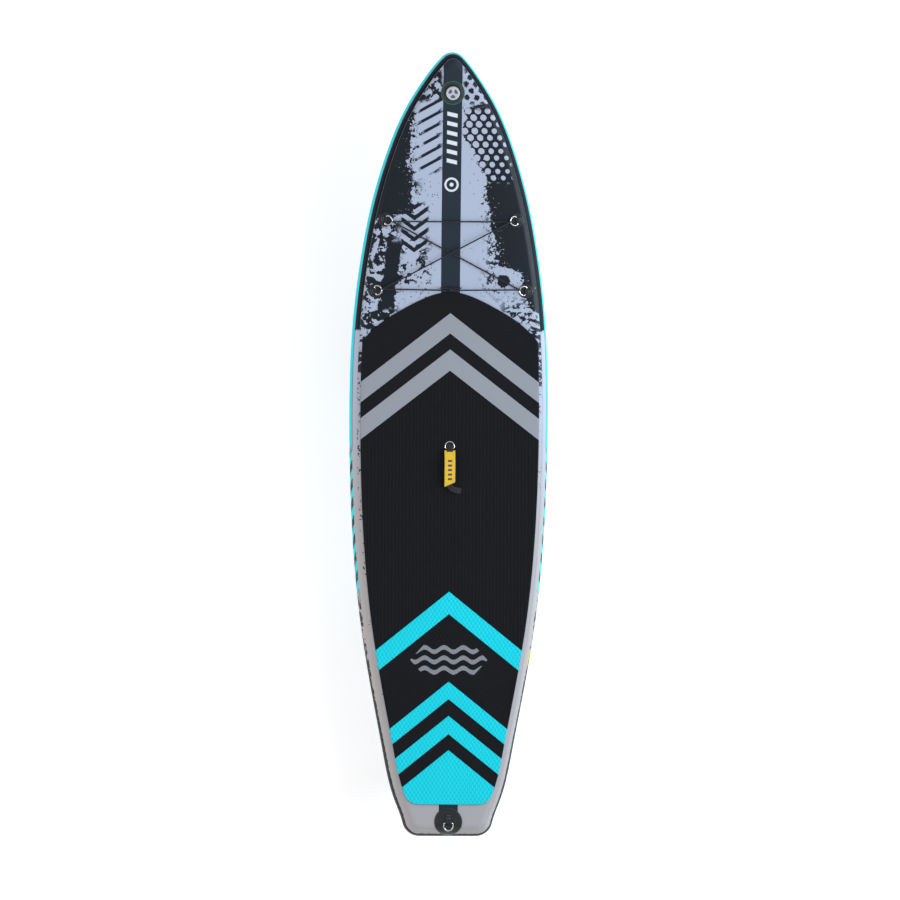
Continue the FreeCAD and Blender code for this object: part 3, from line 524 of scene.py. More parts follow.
LEFT_EDGE = [                  # y, and how far the port block stays from the middle there
    (0.20, 0.39), (0.93, 0.39), (0.94, 0.165), (1.04, 0.160), (1.10, 0.166), (1.13, 0.186),
    (1.20, 0.170), (1.27, 0.158), (1.35, 0.160), (1.40, 0.176), (1.43, 0.205), (1.60, 0.20),
]
RIGHT_EDGE = [                 # the same for the starboard block
    (0.20, 0.39), (0.53, 0.37), (0.56, 0.312), (0.69, 0.292), (0.71, 0.27), (0.73, 0.195),
    (0.80, 0.188), (0.88, 0.166), (0.97, 0.160), (1.00, 0.135), (1.08, 0.148), (1.14, 0.120),
    (1.20, 0.085), (1.26, 0.050), (1.37, 0.050), (1.385, 0.10), (1.41, 0.39), (1.60, 0.39),
]


PRINT_REAR, PRINT_FRONT, PRINT_HALF = 0.2, 1.6, 0.4
DOT_PITCH, DOT_ROW, DOT_LEAN = 0.040, 0.0272, 0.10
BAR_PITCH, BAR_LEAN = 0.0475, 0.55
VEE_PITCH, VEE_LEAN, VEE_X = 0.0435, 0.72, -0.150
HATCH_PITCH, HATCH_LEAN = 0.031, 0.35
COLUMN_X, COLUMN_Y, COLUMN_LEAN, COLUMN_HALF = -0.250, 0.66, 0.12, 0.033
BLOT_X, BLOT_Y, BLOT_R = 0.215, 0.668, 0.026


class Wear:
    """The noises that every mark of the worn print shares."""

    def __init__(self, p):
        self.coarse, self.ragged, self.fine = p.noise(11, 2), p.noise(55, 3), p.noise(170, 2)
        self.all = self.coarse * 0.055 + self.ragged * 0.045 + self.fine * 0.02
        self.worms = (p.noise(34, 2) + self.ragged * 0.55).above(-0.005, 0.012)


def side_blocks(p, wear):
    """Large black blocks along both sides, flecked inside and sprayed outside their edges."""
    left = p.y.curve(LEFT_EDGE, PRINT_REAR, PRINT_FRONT, PRINT_HALF)
    right = p.y.curve(RIGHT_EDGE, PRINT_REAR, PRINT_FRONT, PRINT_HALF)
    inside = (-1 * p.x - left).most(p.x - right).least(0.12)
    spray, flecks = p.noise(80, 3), p.noise(120, 2)
    block = (inside + wear.all).above(0.0)
    block = block * (1 - (flecks - 0.13 - inside * 1.5).above(0.0, 0.01))
    reach = 1.0 + (p.x * 60.0).most(0.0).least(0.9)
    return block.most((spray + inside * reach - 0.085).above(0.0, 0.006))


def dot_marks(p, wear):
    """Light dots in the starboard block, and black dots ahead of it."""
    dots = lattice(p, DOT_PITCH, DOT_ROW, DOT_LEAN)
    size = 0.0135 - (p.x - 0.10).most(0.0) * 0.035
    light = (size + wear.fine * 0.004 - dots).above(0.0)
    dark = (0.0115 + wear.fine * 0.016 - dots).above(0.0)
    return (light * box(p, "light_dots", 0.01, wear.all * 0.6),
            dark * box(p, "nose_dots", 0.01, wear.all * 0.5))


def bar_marks(p, wear):
    """Slanted tread bars to port of the stripe: light, dark, and one long slit."""
    bars = ((p.y - p.x * BAR_LEAN) / BAR_PITCH).part()
    light = bars.above(0.30, 0.03) * box(p, "light_bars", 0.006, wear.all * 0.7)
    dark = (0.36 + wear.ragged * 0.5 - bars).above(0.0, 0.03)
    return light, dark * box(p, "dark_bars", 0.01, wear.all), box(p, "slit", 0.0008, wear.fine * 0.006)


def vee_marks(p, wear):
    """A column of small tread vees between the rings."""
    vee = ((p.y - abs(p.x - VEE_X) * VEE_LEAN) / VEE_PITCH).part()
    return (0.46 + wear.ragged * 0.25 - vee).above(0.0, 0.03) * box(p, "vees", 0.006, wear.all * 0.4)


def hatch_marks(p, wear):
    """Short hatching at the starboard edge beside the pad."""
    hatch = ((p.y + p.x * HATCH_LEAN) / HATCH_PITCH).part()
    dark = (0.45 + wear.ragged * 0.5 - hatch).above(0.0, 0.04)
    side = (p.noise(60, 2) - 0.04).above(0.0, 0.01)
    return (dark * box(p, "hatch", 0.006, wear.all * 0.6),
            side * box(p, "hatch_side", 0.004, wear.all * 0.4))


def splatter_marks(p, wear):
    """Splashes, smears and worn patches, each in its own part of the deck."""
    torn = (wear.ragged + wear.fine * 0.4 - 0.035).above(0.0, 0.01)
    column = abs(p.x - COLUMN_X - (p.y - COLUMN_Y) * COLUMN_LEAN)
    smear = (wear.ragged + wear.coarse * 0.6 - 0.085).above(0.0, 0.01)
    right = (wear.ragged + wear.fine * 0.3 - 0.05).above(0.0, 0.012)
    lower = (wear.ragged - 0.03).above(0.0, 0.012)
    splashes = [
        ("nose_mess", wear.worms, 0.01, 0.5), ("torn", torn, 0.02, 1.2),
        ("left_mess", wear.worms, 0.02, 1.2), ("edge_mess", wear.worms, 0.01, 1.0),
        ("column", (COLUMN_HALF + wear.all * 0.8 - column).above(0.0), 0.01, 1.0),
        ("smear", smear, 0.02, 2.0), ("right_mess", right, 0.03, 2.0),
        ("lower_mess", lower, 0.03, 1.5),
    ]
    found = [ink * box(p, name, soft, wear.all * loose) for name, ink, soft, loose in splashes]
    blot = BLOT_R + wear.all * 0.55 - distance_from(p, BLOT_X, BLOT_Y)
    found.append(blot.above(0.0))
    specks = (0.13 + wear.ragged * 0.3 - p.cells(62)).above(0.0, 0.02)
    where = (p.noise(6, 1) - 0.04).above(0.0, 0.03) * p.y.above(-0.62, 0.2)
    return [*found, specks * where]


def deck_ink(p):
    """Share of black ink over the deck: worn blocks, tread marks, dots and splatter."""
    wear = Wear(p)
    light_dots, nose_dots = dot_marks(p, wear)
    light_bars, dark_bars, slit = bar_marks(p, wear)
    ink = side_blocks(p, wear)
    for mark in (nose_dots, dark_bars, slit, vee_marks(p, wear), *hatch_marks(p, wear),
                 *splatter_marks(p, wear)):
        ink = ink.most(mark)
    return ink * (1 - light_dots) * (1 - light_bars)


STRIPE_BARS = (1.135, 1.363)   # rear and front end of the row of bars
STRIPE_RING_Y, STRIPE_HALF_MARK, STRIPE_SOFT = 1.060, 0.021, 0.0008


def stripe_marks(p):
    """Plain white shapes in the nose stripe: a row of slanted bars, and a ring with a dot."""
    bar = ((p.y - STRIPE_BARS[0]) / 0.038 + p.x * 6).part().between(0.30, 0.72, 0.03)
    inside = (STRIPE_HALF_MARK - abs(p.x)).above(0.0, STRIPE_SOFT)
    bars = bar * inside * p.y.between(*STRIPE_BARS, STRIPE_SOFT)
    far = distance_from(p, 0.0, STRIPE_RING_Y)
    ring = far.between(0.021, 0.029, STRIPE_SOFT).most((0.008 - far).above(0.0, STRIPE_SOFT))
    return bars.most(ring)


def weave(p, pitch=0.0085):
    """Fine diagonal ribs of the coated fabric, from -1 to 1."""
    one = ((p.x * 0.8 + p.y) * (2 * math.pi / pitch)).math("SINE")
    two = ((p.x * 0.8 - p.y) * (2 * math.pi / (pitch * 0.62))).math("SINE")
    return one * 0.7 + one * two * 0.5


def deck_material():
    p = Paint("deck_print")
    ink = deck_ink(p)
    ahead = p.y.above(0.0, 0.4)
    stripe = (STRIPE_HALF - abs(p.x)).above(0.0, 0.0004) * (
        p.y.above(0.58, 0.001).most(1 - p.y.above(-1.45, 0.001)))
    white = stripe_marks(p)
    rib = weave(p)
    tone = p.noise(2.2, 2) * 0.12 + rib * 0.11 + p.noise(300, 1) * 0.05
    light = p.mix(ahead, LIGHT_REAR, LIGHT)
    light = p.mix((tone + 0.14).most(0.0), light, (0.16, 0.18, 0.25))
    dark = p.mix((rib * 0.5 + 0.5) * 0.7 + p.noise(4, 2) * 0.5, BLACK, (0.006, 0.011, 0.018))
    stripe_colour = p.mix((rib + 1) * 0.35, (0.008, 0.015, 0.025), (0.018, 0.029, 0.043))
    colour = p.mix(ink, light, dark)
    colour = p.mix(stripe, colour, stripe_colour)
    colour = p.mix(white, colour, (0.62, 0.65, 0.70))
    rough = 0.40 + p.noise(9, 3) * 0.12 + ink * 0.03
    height = rib * 0.5 + p.noise(420, 2) * 0.5 + ink * 0.4
    return p.finish(colour, rough, height, 0.0003, 0.35, Specular_IOR_Level=0.25)


RAIL_LINE = 56.0               # degrees round from the deck where the turquoise begins
BLOCK_END, DASH_END = -0.02, -0.60             # y where the plain turquoise and the dashes end
NOSE_PRINT = 0.47              # y where the black shoulder of the nose begins
SEAM_RED = (0.02, 0.004, 0.005)


def rail_material():
    p = Paint("rail_print")
    along, turn = p.marks()
    ragged, fine = p.noise(60, 3), p.noise(160, 2)
    wear = ragged * 6 + fine * 3
    front = p.y.above(BLOCK_END, 0.02)
    middle = p.y.between(DASH_END, BLOCK_END, 0.03)
    outer = turn.between(RAIL_LINE, 180 - RAIL_LINE, 0.6)
    nose = p.y.above(NOSE_PRINT, 0.06)
    grunge = (p.noise(30, 3) + ragged * 0.4).above(0.0, 0.012)
    dash = ((p.y * 1.0 + turn * 0.0011) / 0.075).part().above(0.48, 0.03)
    dash = dash * (1 - (fine - 0.12).above(0.0, 0.02))
    light = p.mix(p.y.above(0.0, 0.4), LIGHT_REAR, LIGHT)
    inner_ink = (nose + ragged * 0.9 - 0.45).above(0.0, 0.02)
    inner = p.mix(inner_ink, light, BLACK)
    rear_ink = (turn + wear).between(RAIL_LINE, 180 - RAIL_LINE, 1.5)
    rear = p.mix(rear_ink * grunge, light, BLACK)
    yellow = (p.noise(14, 1) - 0.13).above(0.0, 0.02) * rear_ink
    rear = p.mix(yellow * p.y.between(-1.30, -0.75, 0.05), rear, (0.60, 0.55, 0.02))
    outer_colour = p.mix(middle * dash, TURQUOISE, BLACK)
    colour = p.mix(outer * (front.most(middle)), p.mix(front.most(middle), rear, inner),
                   outer_colour)
    upper = turn.between(RAIL_LINE - 3.0, RAIL_LINE, 0.3)
    lower = turn.between(180 - RAIL_LINE, 183 - RAIL_LINE, 0.3)
    colour = p.mix(upper.most(lower) * front, colour, SEAM_RED)
    # painted highlight: a lighter line along the rail band's upper edge, at the nose
    seam = (turn - BAND_TURN).between(-1.0, 1.1, 0.2)
    colour = p.mix(seam * nose, colour, (0.13, 0.15, 0.19))
    keel = (turn + (p.y + 1.30).most(0.0) * -26.0 + ragged * 12).above(52.0, 1.0) * (
        1 - p.y.above(-0.85, 0.08))
    colour = p.mix(keel, colour, BLACK)
    rough = 0.36 + p.noise(10, 3) * 0.1
    height = p.noise(420, 2) * 0.5 + weave(p) * 0.3
    return p.finish(colour, rough + 0.12, height, 0.0003, 0.35, Specular_IOR_Level=0.12)


def bottom_material():
    p = Paint("bottom_print")
    ragged = p.noise(40, 3)
    wear = p.noise(9, 2) * 0.06 + ragged * 0.03
    vee = p.y + abs(p.x) * SLOPE_REAR + wear
    bands = (vee.between(-0.62, -0.50, 0.001)).most(vee.between(0.50, 0.62, 0.001))
    blue = vee.between(-0.44, -0.34, 0.001).most(vee.between(0.34, 0.44, 0.001))
    light = p.mix(p.noise(3, 2) + 0.5, (0.36, 0.38, 0.46), (0.44, 0.46, 0.53))
    colour = p.mix(bands, light, BLACK)
    colour = p.mix(blue, colour, TURQUOISE)
    stripe = (STRIPE_HALF - abs(p.x)).above(0.0, 0.0004)
    colour = p.mix(stripe, colour, (0.014, 0.022, 0.034))
    rough = 0.42 + p.noise(12, 3) * 0.1
    height = weave(p) * 0.4 + p.noise(380, 2) * 0.4
    return p.finish(colour, rough, height, 0.0003, 0.35)


# ---- other materials ----
def scale_axes(x, y):
    """The two slanted counts that the pressed scales repeat along, for arrays or shader values."""
    across, along = x / DIAMOND, y / (DIAMOND * DIAMOND_LONG)
    return across + along, across - along


def scale_grooves(p):
    """1 in the grooves between the pad's pressed scales, and a slow change over each scale."""
    u, v = scale_axes(p.x, p.y)
    across = abs(u.part() - 0.5).most(abs(v.part() - 0.5))
    return across.above(0.415, 0.05), v.part() - u.part()


def foam_surface(p, colour, dark, scale_highlight, scaled=True):
    """EVA foam: closed cells, slightly uneven colour, painted shade in its pressed grooves and a
    painted highlight on the raised end of each scale.
    """
    tone = p.noise(5, 3) * 0.5 + p.noise(160, 2) * 0.5 + 0.6
    colour = p.mix(tone, dark, colour)
    if scaled:
        groove_shade, ramp = scale_grooves(p)
        rear = 1 - p.y.above(-0.60, 0.001)
        # painted shade: the grooves between the rear pads' scales are mixed towards a darker colour
        colour = p.mix(groove_shade * rear * 0.42, colour, dark_of(dark))
        # painted highlight: the raised end of each scale is mixed towards a lighter colour
        colour = p.mix((ramp - 0.35).most(0.0) * rear * (1 - groove_shade), colour, scale_highlight)
    cells = p.cells(900, p.vector(p.x, p.y, p.z))
    return colour, cells * 0.6 + p.noise(500, 2) * 0.4


def dark_of(colour):
    return tuple(0.35 * c for c in colour)


def foam_material(name, colour, dark, scale_highlight, scaled=True):
    p = Paint(name)
    colour, height = foam_surface(p, colour, dark, scale_highlight, scaled)
    rough = 0.84 + p.noise(30, 2) * 0.1
    return p.finish(colour, rough, height, 0.0002, 0.5, Specular_IOR_Level=0.2)


def pvc_material(name, colour, rough):
    p = Paint(name)
    tone = p.noise(20, 3) + 0.5
    return p.finish(
        p.mix(tone, tuple(c * 0.7 for c in colour), tuple(c * 1.25 for c in colour)),
        rough + p.noise(60, 3) * 0.15, p.noise(700, 2) * 0.6 + p.noise(60, 2), 0.0003, 0.3,
    )


def metal_material():
    p = Paint("stainless")
    drawn = p.noise(900, 2)
    tone = p.noise(60, 2) + 0.5
    return p.finish(
        p.mix(tone, (0.52, 0.52, 0.53), (0.74, 0.74, 0.75)), 0.20 + p.noise(120, 3) * 0.2,
        drawn, 0.00008, 0.4, Metallic=1.0,
    )


def webbing_material():
    """Flat woven strap: ribs across and along."""
    p = Paint("webbing")
    along, share = p.marks()
    rib = (along * (2 * math.pi / 0.0016)).math("SINE")
    warp = (share * (2 * math.pi * 22)).math("SINE")
    knit = rib * warp
    tone = knit * 0.25 + 0.35 + p.noise(40, 2) * 0.5
    colour = p.mix(tone, (0.003, 0.003, 0.004), (0.012, 0.013, 0.016))
    return p.finish(colour, 0.78 + p.noise(60, 2) * 0.1, knit, 0.0004, 0.7)


def cord_material():
    """Braided sheath of the bungee."""
    p = Paint("cord")
    along, share = p.marks()
    one = (along * (2 * math.pi / 0.0042) + share * (2 * math.pi * 5)).math("SINE")
    two = (along * (2 * math.pi / 0.0042) - share * (2 * math.pi * 5)).math("SINE")
    braid = one.most(two)
    tone = braid * 0.3 + 0.4 + p.noise(90, 2) * 0.4
    colour = p.mix(tone, (0.002, 0.002, 0.003), (0.012, 0.013, 0.016))
    return p.finish(colour, 0.72 + p.noise(90, 2) * 0.1, braid, 0.0003, 0.8)


def sleeve_material():
    """Yellow neoprene with a knitted face, painted orange shade along its starboard side, and plain
    dark dashes.
    """
    p = Paint("neoprene")
    tone = p.noise(24, 3) + 0.5
    yellow = p.mix(tone, (0.58, 0.37, 0.010), (0.74, 0.50, 0.030))
    # painted shade: the starboard side of the sleeve is mixed half-way to orange
    yellow = p.mix((p.x - 0.004).above(0.006, 0.012) * 0.5, yellow, (0.60, 0.27, 0.008))
    dash = ((p.y + 0.150) / 0.0185).part().between(0.22, 0.70, 0.05)
    mark = dash * abs(p.x).between(-1.0, 0.0085, 0.0006)
    mark = mark * p.y.between(-0.146, -0.054, 0.001) * p.z.above(0.168, 0.001)
    colour = p.mix(mark * 0.92, yellow, (0.012, 0.016, 0.045))
    stitch = 2 * math.pi / 0.0011
    knit = (p.x * stitch).math("SINE") * (p.y * stitch).math("SINE")
    return p.finish(colour, 0.80 + p.noise(40, 2) * 0.1, knit + p.noise(120, 2), 0.0003, 0.5)


def valve_ring_material():
    """Black PVC ring with green circles."""
    p = Paint("valve_ring")
    far = distance_from(p, 0.0, VALVE_Y)
    green = far.between(0.0455, 0.0480, 0.0004)
    dim = far.between(0.0405, 0.0418, 0.0004).most(far.between(0.0355, 0.0368, 0.0004))
    base = p.mix(p.noise(60, 3) + 0.5, (0.007, 0.008, 0.010), (0.014, 0.016, 0.019))
    colour = p.mix(green, base, (0.006, 0.125, 0.055))
    colour = p.mix(dim * 0.8, colour, (0.004, 0.055, 0.030))
    return p.finish(colour, 0.42 + p.noise(80, 3) * 0.1, p.noise(600, 2), 0.0002, 0.4)


def plastic_material(name, colour, rough=0.35):
    p = Paint(name)
    tone = p.noise(40, 3) + 0.5
    return p.finish(
        p.mix(tone, tuple(c * 0.85 for c in colour), tuple(min(1, c * 1.08) for c in colour)),
        rough + p.noise(90, 3) * 0.1, p.noise(800, 2), 0.0001, 0.4,
    )


FLOOR_GLOW = 0.33              # the floor is a lit white sweep


def floor_material():
    p = Paint("floor")
    tone = p.noise(1.5, 3) + 0.5
    colour = p.mix(tone, (0.88, 0.88, 0.88), (0.91, 0.91, 0.91))
    return p.finish(colour, 0.9, p.noise(40, 2), 0.0005, 0.1, Emission_Strength=FLOOR_GLOW)


def emblem_material():
    """Black foam with an inlay of plain grey waves."""
    p = Paint("foam_emblem")
    swell = (p.x * (2 * math.pi / 0.079)).math("SINE") * 0.009
    row = (p.y + swell + 0.940) / 0.042
    tips = 0.158 - abs(p.y + 0.880) * 0.9 - abs(p.x)
    wave = row.part().between(0.22, 0.66, 0.02) * row.between(0.0, 3.0, 0.01)
    wave = wave * tips.above(0.0, 0.0006)
    dark, height = foam_surface(p, FOAM_BLACK, FOAM_BLACK_LOW, FOAM_BLACK_HIGHLIGHT)
    grey = p.mix(p.noise(160, 2) + 0.5, (0.16, 0.17, 0.19), (0.24, 0.25, 0.28))
    rough = 0.84 + p.noise(30, 2) * 0.1
    colour = p.mix(wave, dark, grey)
    return p.finish(colour, rough, height + wave, 0.0002, 0.5, Specular_IOR_Level=0.2)


def valve_cap_material():
    """Pale plastic cap, with painted shade down in its three scoops."""
    p = Paint("valve_cap")
    scoop_shade, _ = p.marks()
    pale = p.mix(p.noise(80, 3) + 0.5, (0.36, 0.38, 0.41), (0.50, 0.52, 0.55))
    # painted shade: darker the deeper a point lies in a scoop
    colour = p.mix(scoop_shade, pale, (0.09, 0.10, 0.115))
    return p.finish(colour, 0.32 + p.noise(120, 3) * 0.1, p.noise(800, 2), 0.0001, 0.4)


FOAM_BLACK, FOAM_BLACK_LOW = (0.0036, 0.0042, 0.0062), (0.0020, 0.0025, 0.0040)
# painted highlight colour for the raised ends of the black foam's scales
FOAM_BLACK_HIGHLIGHT = (0.017, 0.018, 0.022)
GREY, GREY_LOW = (0.262, 0.275, 0.305), (0.222, 0.235, 0.265)
# the third turquoise colour is a painted highlight for the raised ends of the scales
PAD_BLUE, PAD_BLUE_LOW, PAD_BLUE_HIGHLIGHT = (0.006, 0.62, 0.73), (0.003, 0.52, 0.62), (0.10, 0.76, 0.86)
LOOKS = {                      # material and the record's slot, by name
    "deck": (deck_material(), "deck_print"),
    "rail": (rail_material(), "rail_print"),
    "bottom": (bottom_material(), "bottom_print"),
    "black": (
        foam_material("foam_black", FOAM_BLACK, FOAM_BLACK_LOW, FOAM_BLACK_HIGHLIGHT), "eva_black"),
    "grey": (foam_material("foam_grey", GREY, GREY_LOW, GREY, False), "eva_grey"),
    "turquoise": (
        foam_material("foam_turquoise", PAD_BLUE, PAD_BLUE_LOW, PAD_BLUE_HIGHLIGHT), "eva_turquoise"),
    "emblem": (emblem_material(), "eva_black"),
    "pvc": (pvc_material("pvc_black", (0.008, 0.009, 0.011), 0.40), "pvc_black"),
    "metal": (metal_material(), "stainless"),
    "webbing": (webbing_material(), "webbing_black"),
    "thread": (plastic_material("thread", (0.30, 0.31, 0.34), 0.7), "webbing_black"),
    "cord": (cord_material(), "cord_black"),
    "sleeve": (sleeve_material(), "neoprene_yellow"),
    "valve_ring": (valve_ring_material(), "pvc_black"),
    "cap": (valve_cap_material(), "valve_white"),
    "valve": (plastic_material("valve_black", (0.016, 0.017, 0.020), 0.4), "valve_plastic"),
    "fin": (plastic_material("fin_black", (0.012, 0.012, 0.014), 0.38), "fin_plastic"),
    "fin_box": (plastic_material("fin_box", (0.020, 0.021, 0.024), 0.5), "fin_box_plastic"),
    "rubber": (plastic_material("seal_rubber", (0.018, 0.018, 0.020), 0.7), "seal_rubber"),
    "yarn": (plastic_material("yarn", (0.55, 0.55, 0.56), 0.8), "yarn"),
}
CAD_LOOKS = {                  # CAD nodes that keep their own shape
    "metal": ["leash_ring", "handle_ring", "fin_pin", "fin_nut_plate", "fin_screw",
              *["bungee_ring_" + corner for corner in RINGS]],
    "fin": ["fin_blade", "side_fin_starboard", "side_fin_port"],
    "fin_box": ["fin_box"],
    "valve": ["valve_body", "valve_nut", "valve_plunger"],
    "rubber": ["valve_cap_seal"],
    "black": ["pad_backing"],
    "pvc": ["handle_foot_front", "handle_foot_rear"],
    "yarn": ["drop_stitch_yarns"],
}


def finish_cad_nodes():
    for look, names in CAD_LOOKS.items():
        for name in names:
            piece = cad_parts[name]
            piece.data.materials.clear()
            piece.data.materials.append(LOOKS[look][0])


# ---- hull ----
def taper(turn):
    """Share of the rail band's height: its two edges are feathered down onto the skin."""
    inside = min(turn - BAND_TURN, 180 - BAND_TURN - turn)
    return 0.25 + 0.75 * min(max(inside / 9.0, 0.0), 1.0)


def hull_piece(name, columns, side, look, node, out=0.0):
    """Strip of the hull. Columns are (share of the half width, turn in degrees)."""
    keep = EDGE - BAND
    flat = inset_line(EDGE)
    rows = []
    for p, n in zip(flat, OUT):
        row = []
        for share, turn in columns:
            a = math.radians(turn)
            off = out * taper(turn)
            reach = (keep + off) * math.sin(a)
            x, y = p[0] * share + n[0] * reach, p[1] + n[1] * reach
            z = MID + (MID + off) * math.cos(a)
            row.append((side * x, y, z + float(lift(y))))
        rows.append(row)
    points = np.array(rows)
    steps = np.linalg.norm(np.diff(points[:, -1], axis=0), axis=1)
    along = np.concatenate([[0], np.cumsum(steps)])
    turns = np.array([turn for _, turn in columns])
    marks = np.stack(np.meshgrid(along, turns, indexing="ij"), axis=-1).reshape(-1, 2)
    faces = grid_faces(len(rows), len(columns))
    if side < 0:
        faces = [f[::-1] for f in faces]
    return new_piece(name, points.reshape(-1, 3), faces, look, "board", [node], marks, 60)


def turns(start, end, step):
    count = max(2, int(round(abs(end - start) / step)) + 1)
    return [(1.0, t) for t in np.linspace(start, end, count)]


def hull():
    shares = [(s, 0.0) for s in (0.0, 0.25, 0.5, 0.75)]
    under = [(s, 180.0) for s in (0.75, 0.5, 0.25, 0.0)]
    for side, word in ((1, "starboard"), (-1, "port")):
        hull_piece(f"deck_sheet_{word}", shares + turns(0, BAND_TURN + 4, 3), side,
                   "deck", "deck_skin")
        hull_piece(f"bottom_sheet_{word}", turns(176 - BAND_TURN, 180, 3) + under, side,
                   "bottom", "bottom_skin")
        hull_piece(f"side_wall_{word}", turns(BAND_TURN + 4, 176 - BAND_TURN, 6), side,
                   "bottom", f"rail_wall_{word}")
        band = hull_piece(f"rail_band_{word}", turns(BAND_TURN, 180 - BAND_TURN, 3), side,
                          "rail", f"rail_band_{word}", BAND)
        band.modifiers.new("thickness", "SOLIDIFY").thickness = BAND * 0.9


# ---- traction pad ----
def pad_line():
    """Starboard edge of the pad from the rear centre to the front centre."""
    corner = (PAD_REAR_HALF, PAD_REAR + PAD_CORNER_R)
    a = np.linspace(-math.pi / 2, -math.radians(14), 12)
    arc = np.column_stack([np.cos(a), np.sin(a)]) * PAD_CORNER_R + corner
    side = inset_line(PAD_INSET)
    shoulder = PAD_FRONT[-1][1]
    side = side[(side[:, 1] > -1.36) & (side[:, 1] < shoulder + 0.02)]
    front, _ = clamped_spline(PAD_FRONT, (1.0, 0.0), (0.66, -0.75), 12)
    front = front[front[:, 0] < np.interp(front[:, 1], side[:, 1], side[:, 0])]
    side = side[side[:, 1] < front[-1][1]]
    return np.concatenate([[(0.0, PAD_REAR)], arc, side, front[::-1]])


PAD_LINE = pad_line()
WIDEST = int(np.argmax(PAD_LINE[:, 0]))


def pad_low(x):
    """Rear edge of the pad at x."""
    rear = PAD_LINE[: WIDEST + 1]
    return np.interp(np.abs(x), rear[:, 0], rear[:, 1])


def pad_high(x):
    """Front edge of the pad at x."""
    front = PAD_LINE[WIDEST:][::-1]
    return np.interp(np.abs(x), front[:, 0], front[:, 1])


HALVINGS = 40                  # steps in the search for a piece's outer end
NARROWEST = 2.2 * FOAM_EDGE    # a piece ends where it gets this narrow
END_REACH, END_COLUMNS, COLUMN_GAP = 0.014, 12, 0.0004    # closer columns near each end


def foam_sheet(name, high, low, columns, rows, relief, look, node, step_y=None):
    """Foam piece between two lines y = high(x) and y = low(x), with a relief on top."""
    edge = FOAM_EDGE
    close, far = 0.0, PAD_LINE[WIDEST][0]
    for _ in range(HALVINGS):
        mid = (close + far) / 2
        fits = high(mid) - low(mid) > NARROWEST
        close, far = (mid, far) if fits else (close, mid)
    near_end = close - END_REACH * (1 - np.linspace(0, 1, END_COLUMNS)) ** 2
    inner = columns[np.abs(columns) < near_end[0] - COLUMN_GAP]
    xs = np.concatenate([-near_end[::-1], inner, near_end])
    top, bottom = high(xs), low(xs)
    if step_y:
        rows = max(rows, int((top - bottom).max() / step_y))
    share = np.linspace(0, 1, rows)
    y = bottom[None, :] + edge + (top - bottom - 2 * edge)[None, :] * share[:, None]
    y = np.concatenate([bottom[None, :] + edge * 0.25, y, top[None, :] - edge * 0.25])
    x = np.repeat(xs[None, :], len(y), axis=0)
    ends = np.minimum((close - np.abs(x)) / edge, 1.0)
    sides = np.ones_like(x)
    sides[0] = sides[-1] = 0.0
    z = deck_height(x, y) + PAD_TOP + relief(x, y) * sides - FOAM_ROUND * (1 - ends * sides)
    grid = np.stack([x, y, z], axis=-1)
    grid = np.pad(grid, ((1, 1), (1, 1), (0, 0)), mode="edge")
    skirt = np.ones(grid.shape[:2], bool)
    skirt[1:-1, 1:-1] = False
    base = deck_height(grid[..., 0], grid[..., 1]) + PAD_BASE
    grid[..., 2] = np.where(skirt, base, grid[..., 2])
    faces = grid_faces(*grid.shape[:2])
    piece = new_piece(name, grid.reshape(-1, 3), faces, look, "board", [node], sharp=50)


def flat_relief(x, y):
    return np.zeros_like(x)


def groove_relief(x, y):
    """Fine grooves along the board."""
    off = np.abs((x / GROOVE_PITCH) % 1.0 - 0.5) * GROOVE_PITCH
    return -GROOVE_DEEP * np.clip((GROOVE_HALF - off) / GROOVE_WALL, 0, 1)


def diamond_relief(x, y):
    """Scales: diamonds that rise towards the tail, divided by crossing grooves."""
    u, v = scale_axes(x, y)
    du, dv = np.abs(u % 1.0 - 0.5) * 2, np.abs(v % 1.0 - 0.5) * 2
    wall = np.clip((1 - np.maximum(du, dv)) * 3.2, 0, 1)
    ramp = 0.65 + 0.35 * (v % 1.0 - u % 1.0)
    return SCALE_HIGH * (wall * ramp - 0.55)


def even_columns(step):
    count = int(PAD_LINE[WIDEST][0] / step)
    return np.arange(-count, count + 1) * step


def groove_columns():
    """Columns at both lips and both feet of every groove."""
    foot = GROOVE_HALF - GROOVE_WALL
    count = int(PAD_LINE[WIDEST][0] / GROOVE_PITCH) + 2
    centres = (np.arange(-count, count) + 0.5) * GROOVE_PITCH
    offsets = np.array([-GROOVE_HALF, -foot, foot, GROOVE_HALF])
    return np.sort(np.append(centres[:, None] + offsets, 0.0))


def chevron(front, steepness):
    return lambda x: front - steepness * np.abs(x)


PAD_PIECES = [                 # node, y of the front point, its slope, look and relief
    ("pad_nose_black", None, 0, "black", flat_relief),
    ("pad_chevron_grey_front", 0.5375, SLOPE_FRONT, "grey", flat_relief),
    ("pad_chevron_black_front", 0.4520, SLOPE_FRONT, "black", flat_relief),
    ("pad_chevron_grey_rear", 0.3895, SLOPE_FRONT, "grey", flat_relief),
    ("pad_main_grooved", 0.3005, SLOPE_FRONT, "black", groove_relief),
    ("pad_chevron_turquoise_front", -0.6000, SLOPE_REAR, "turquoise", diamond_relief),
    ("pad_emblem_panel", -0.6935, SLOPE_REAR, "emblem", diamond_relief),
    ("pad_chevron_turquoise_mid", -0.9675, SLOPE_REAR, "turquoise", diamond_relief),
    ("pad_chevron_black_mid", -1.0410, SLOPE_REAR, "black", diamond_relief),
    ("pad_chevron_turquoise_rear", -1.1070, SLOPE_REAR, "turquoise", diamond_relief),
    ("pad_chevron_black_rear", -1.1840, SLOPE_REAR, "black", diamond_relief),
    ("pad_tail_turquoise", -1.2470, SLOPE_REAR, "turquoise", diamond_relief),
]


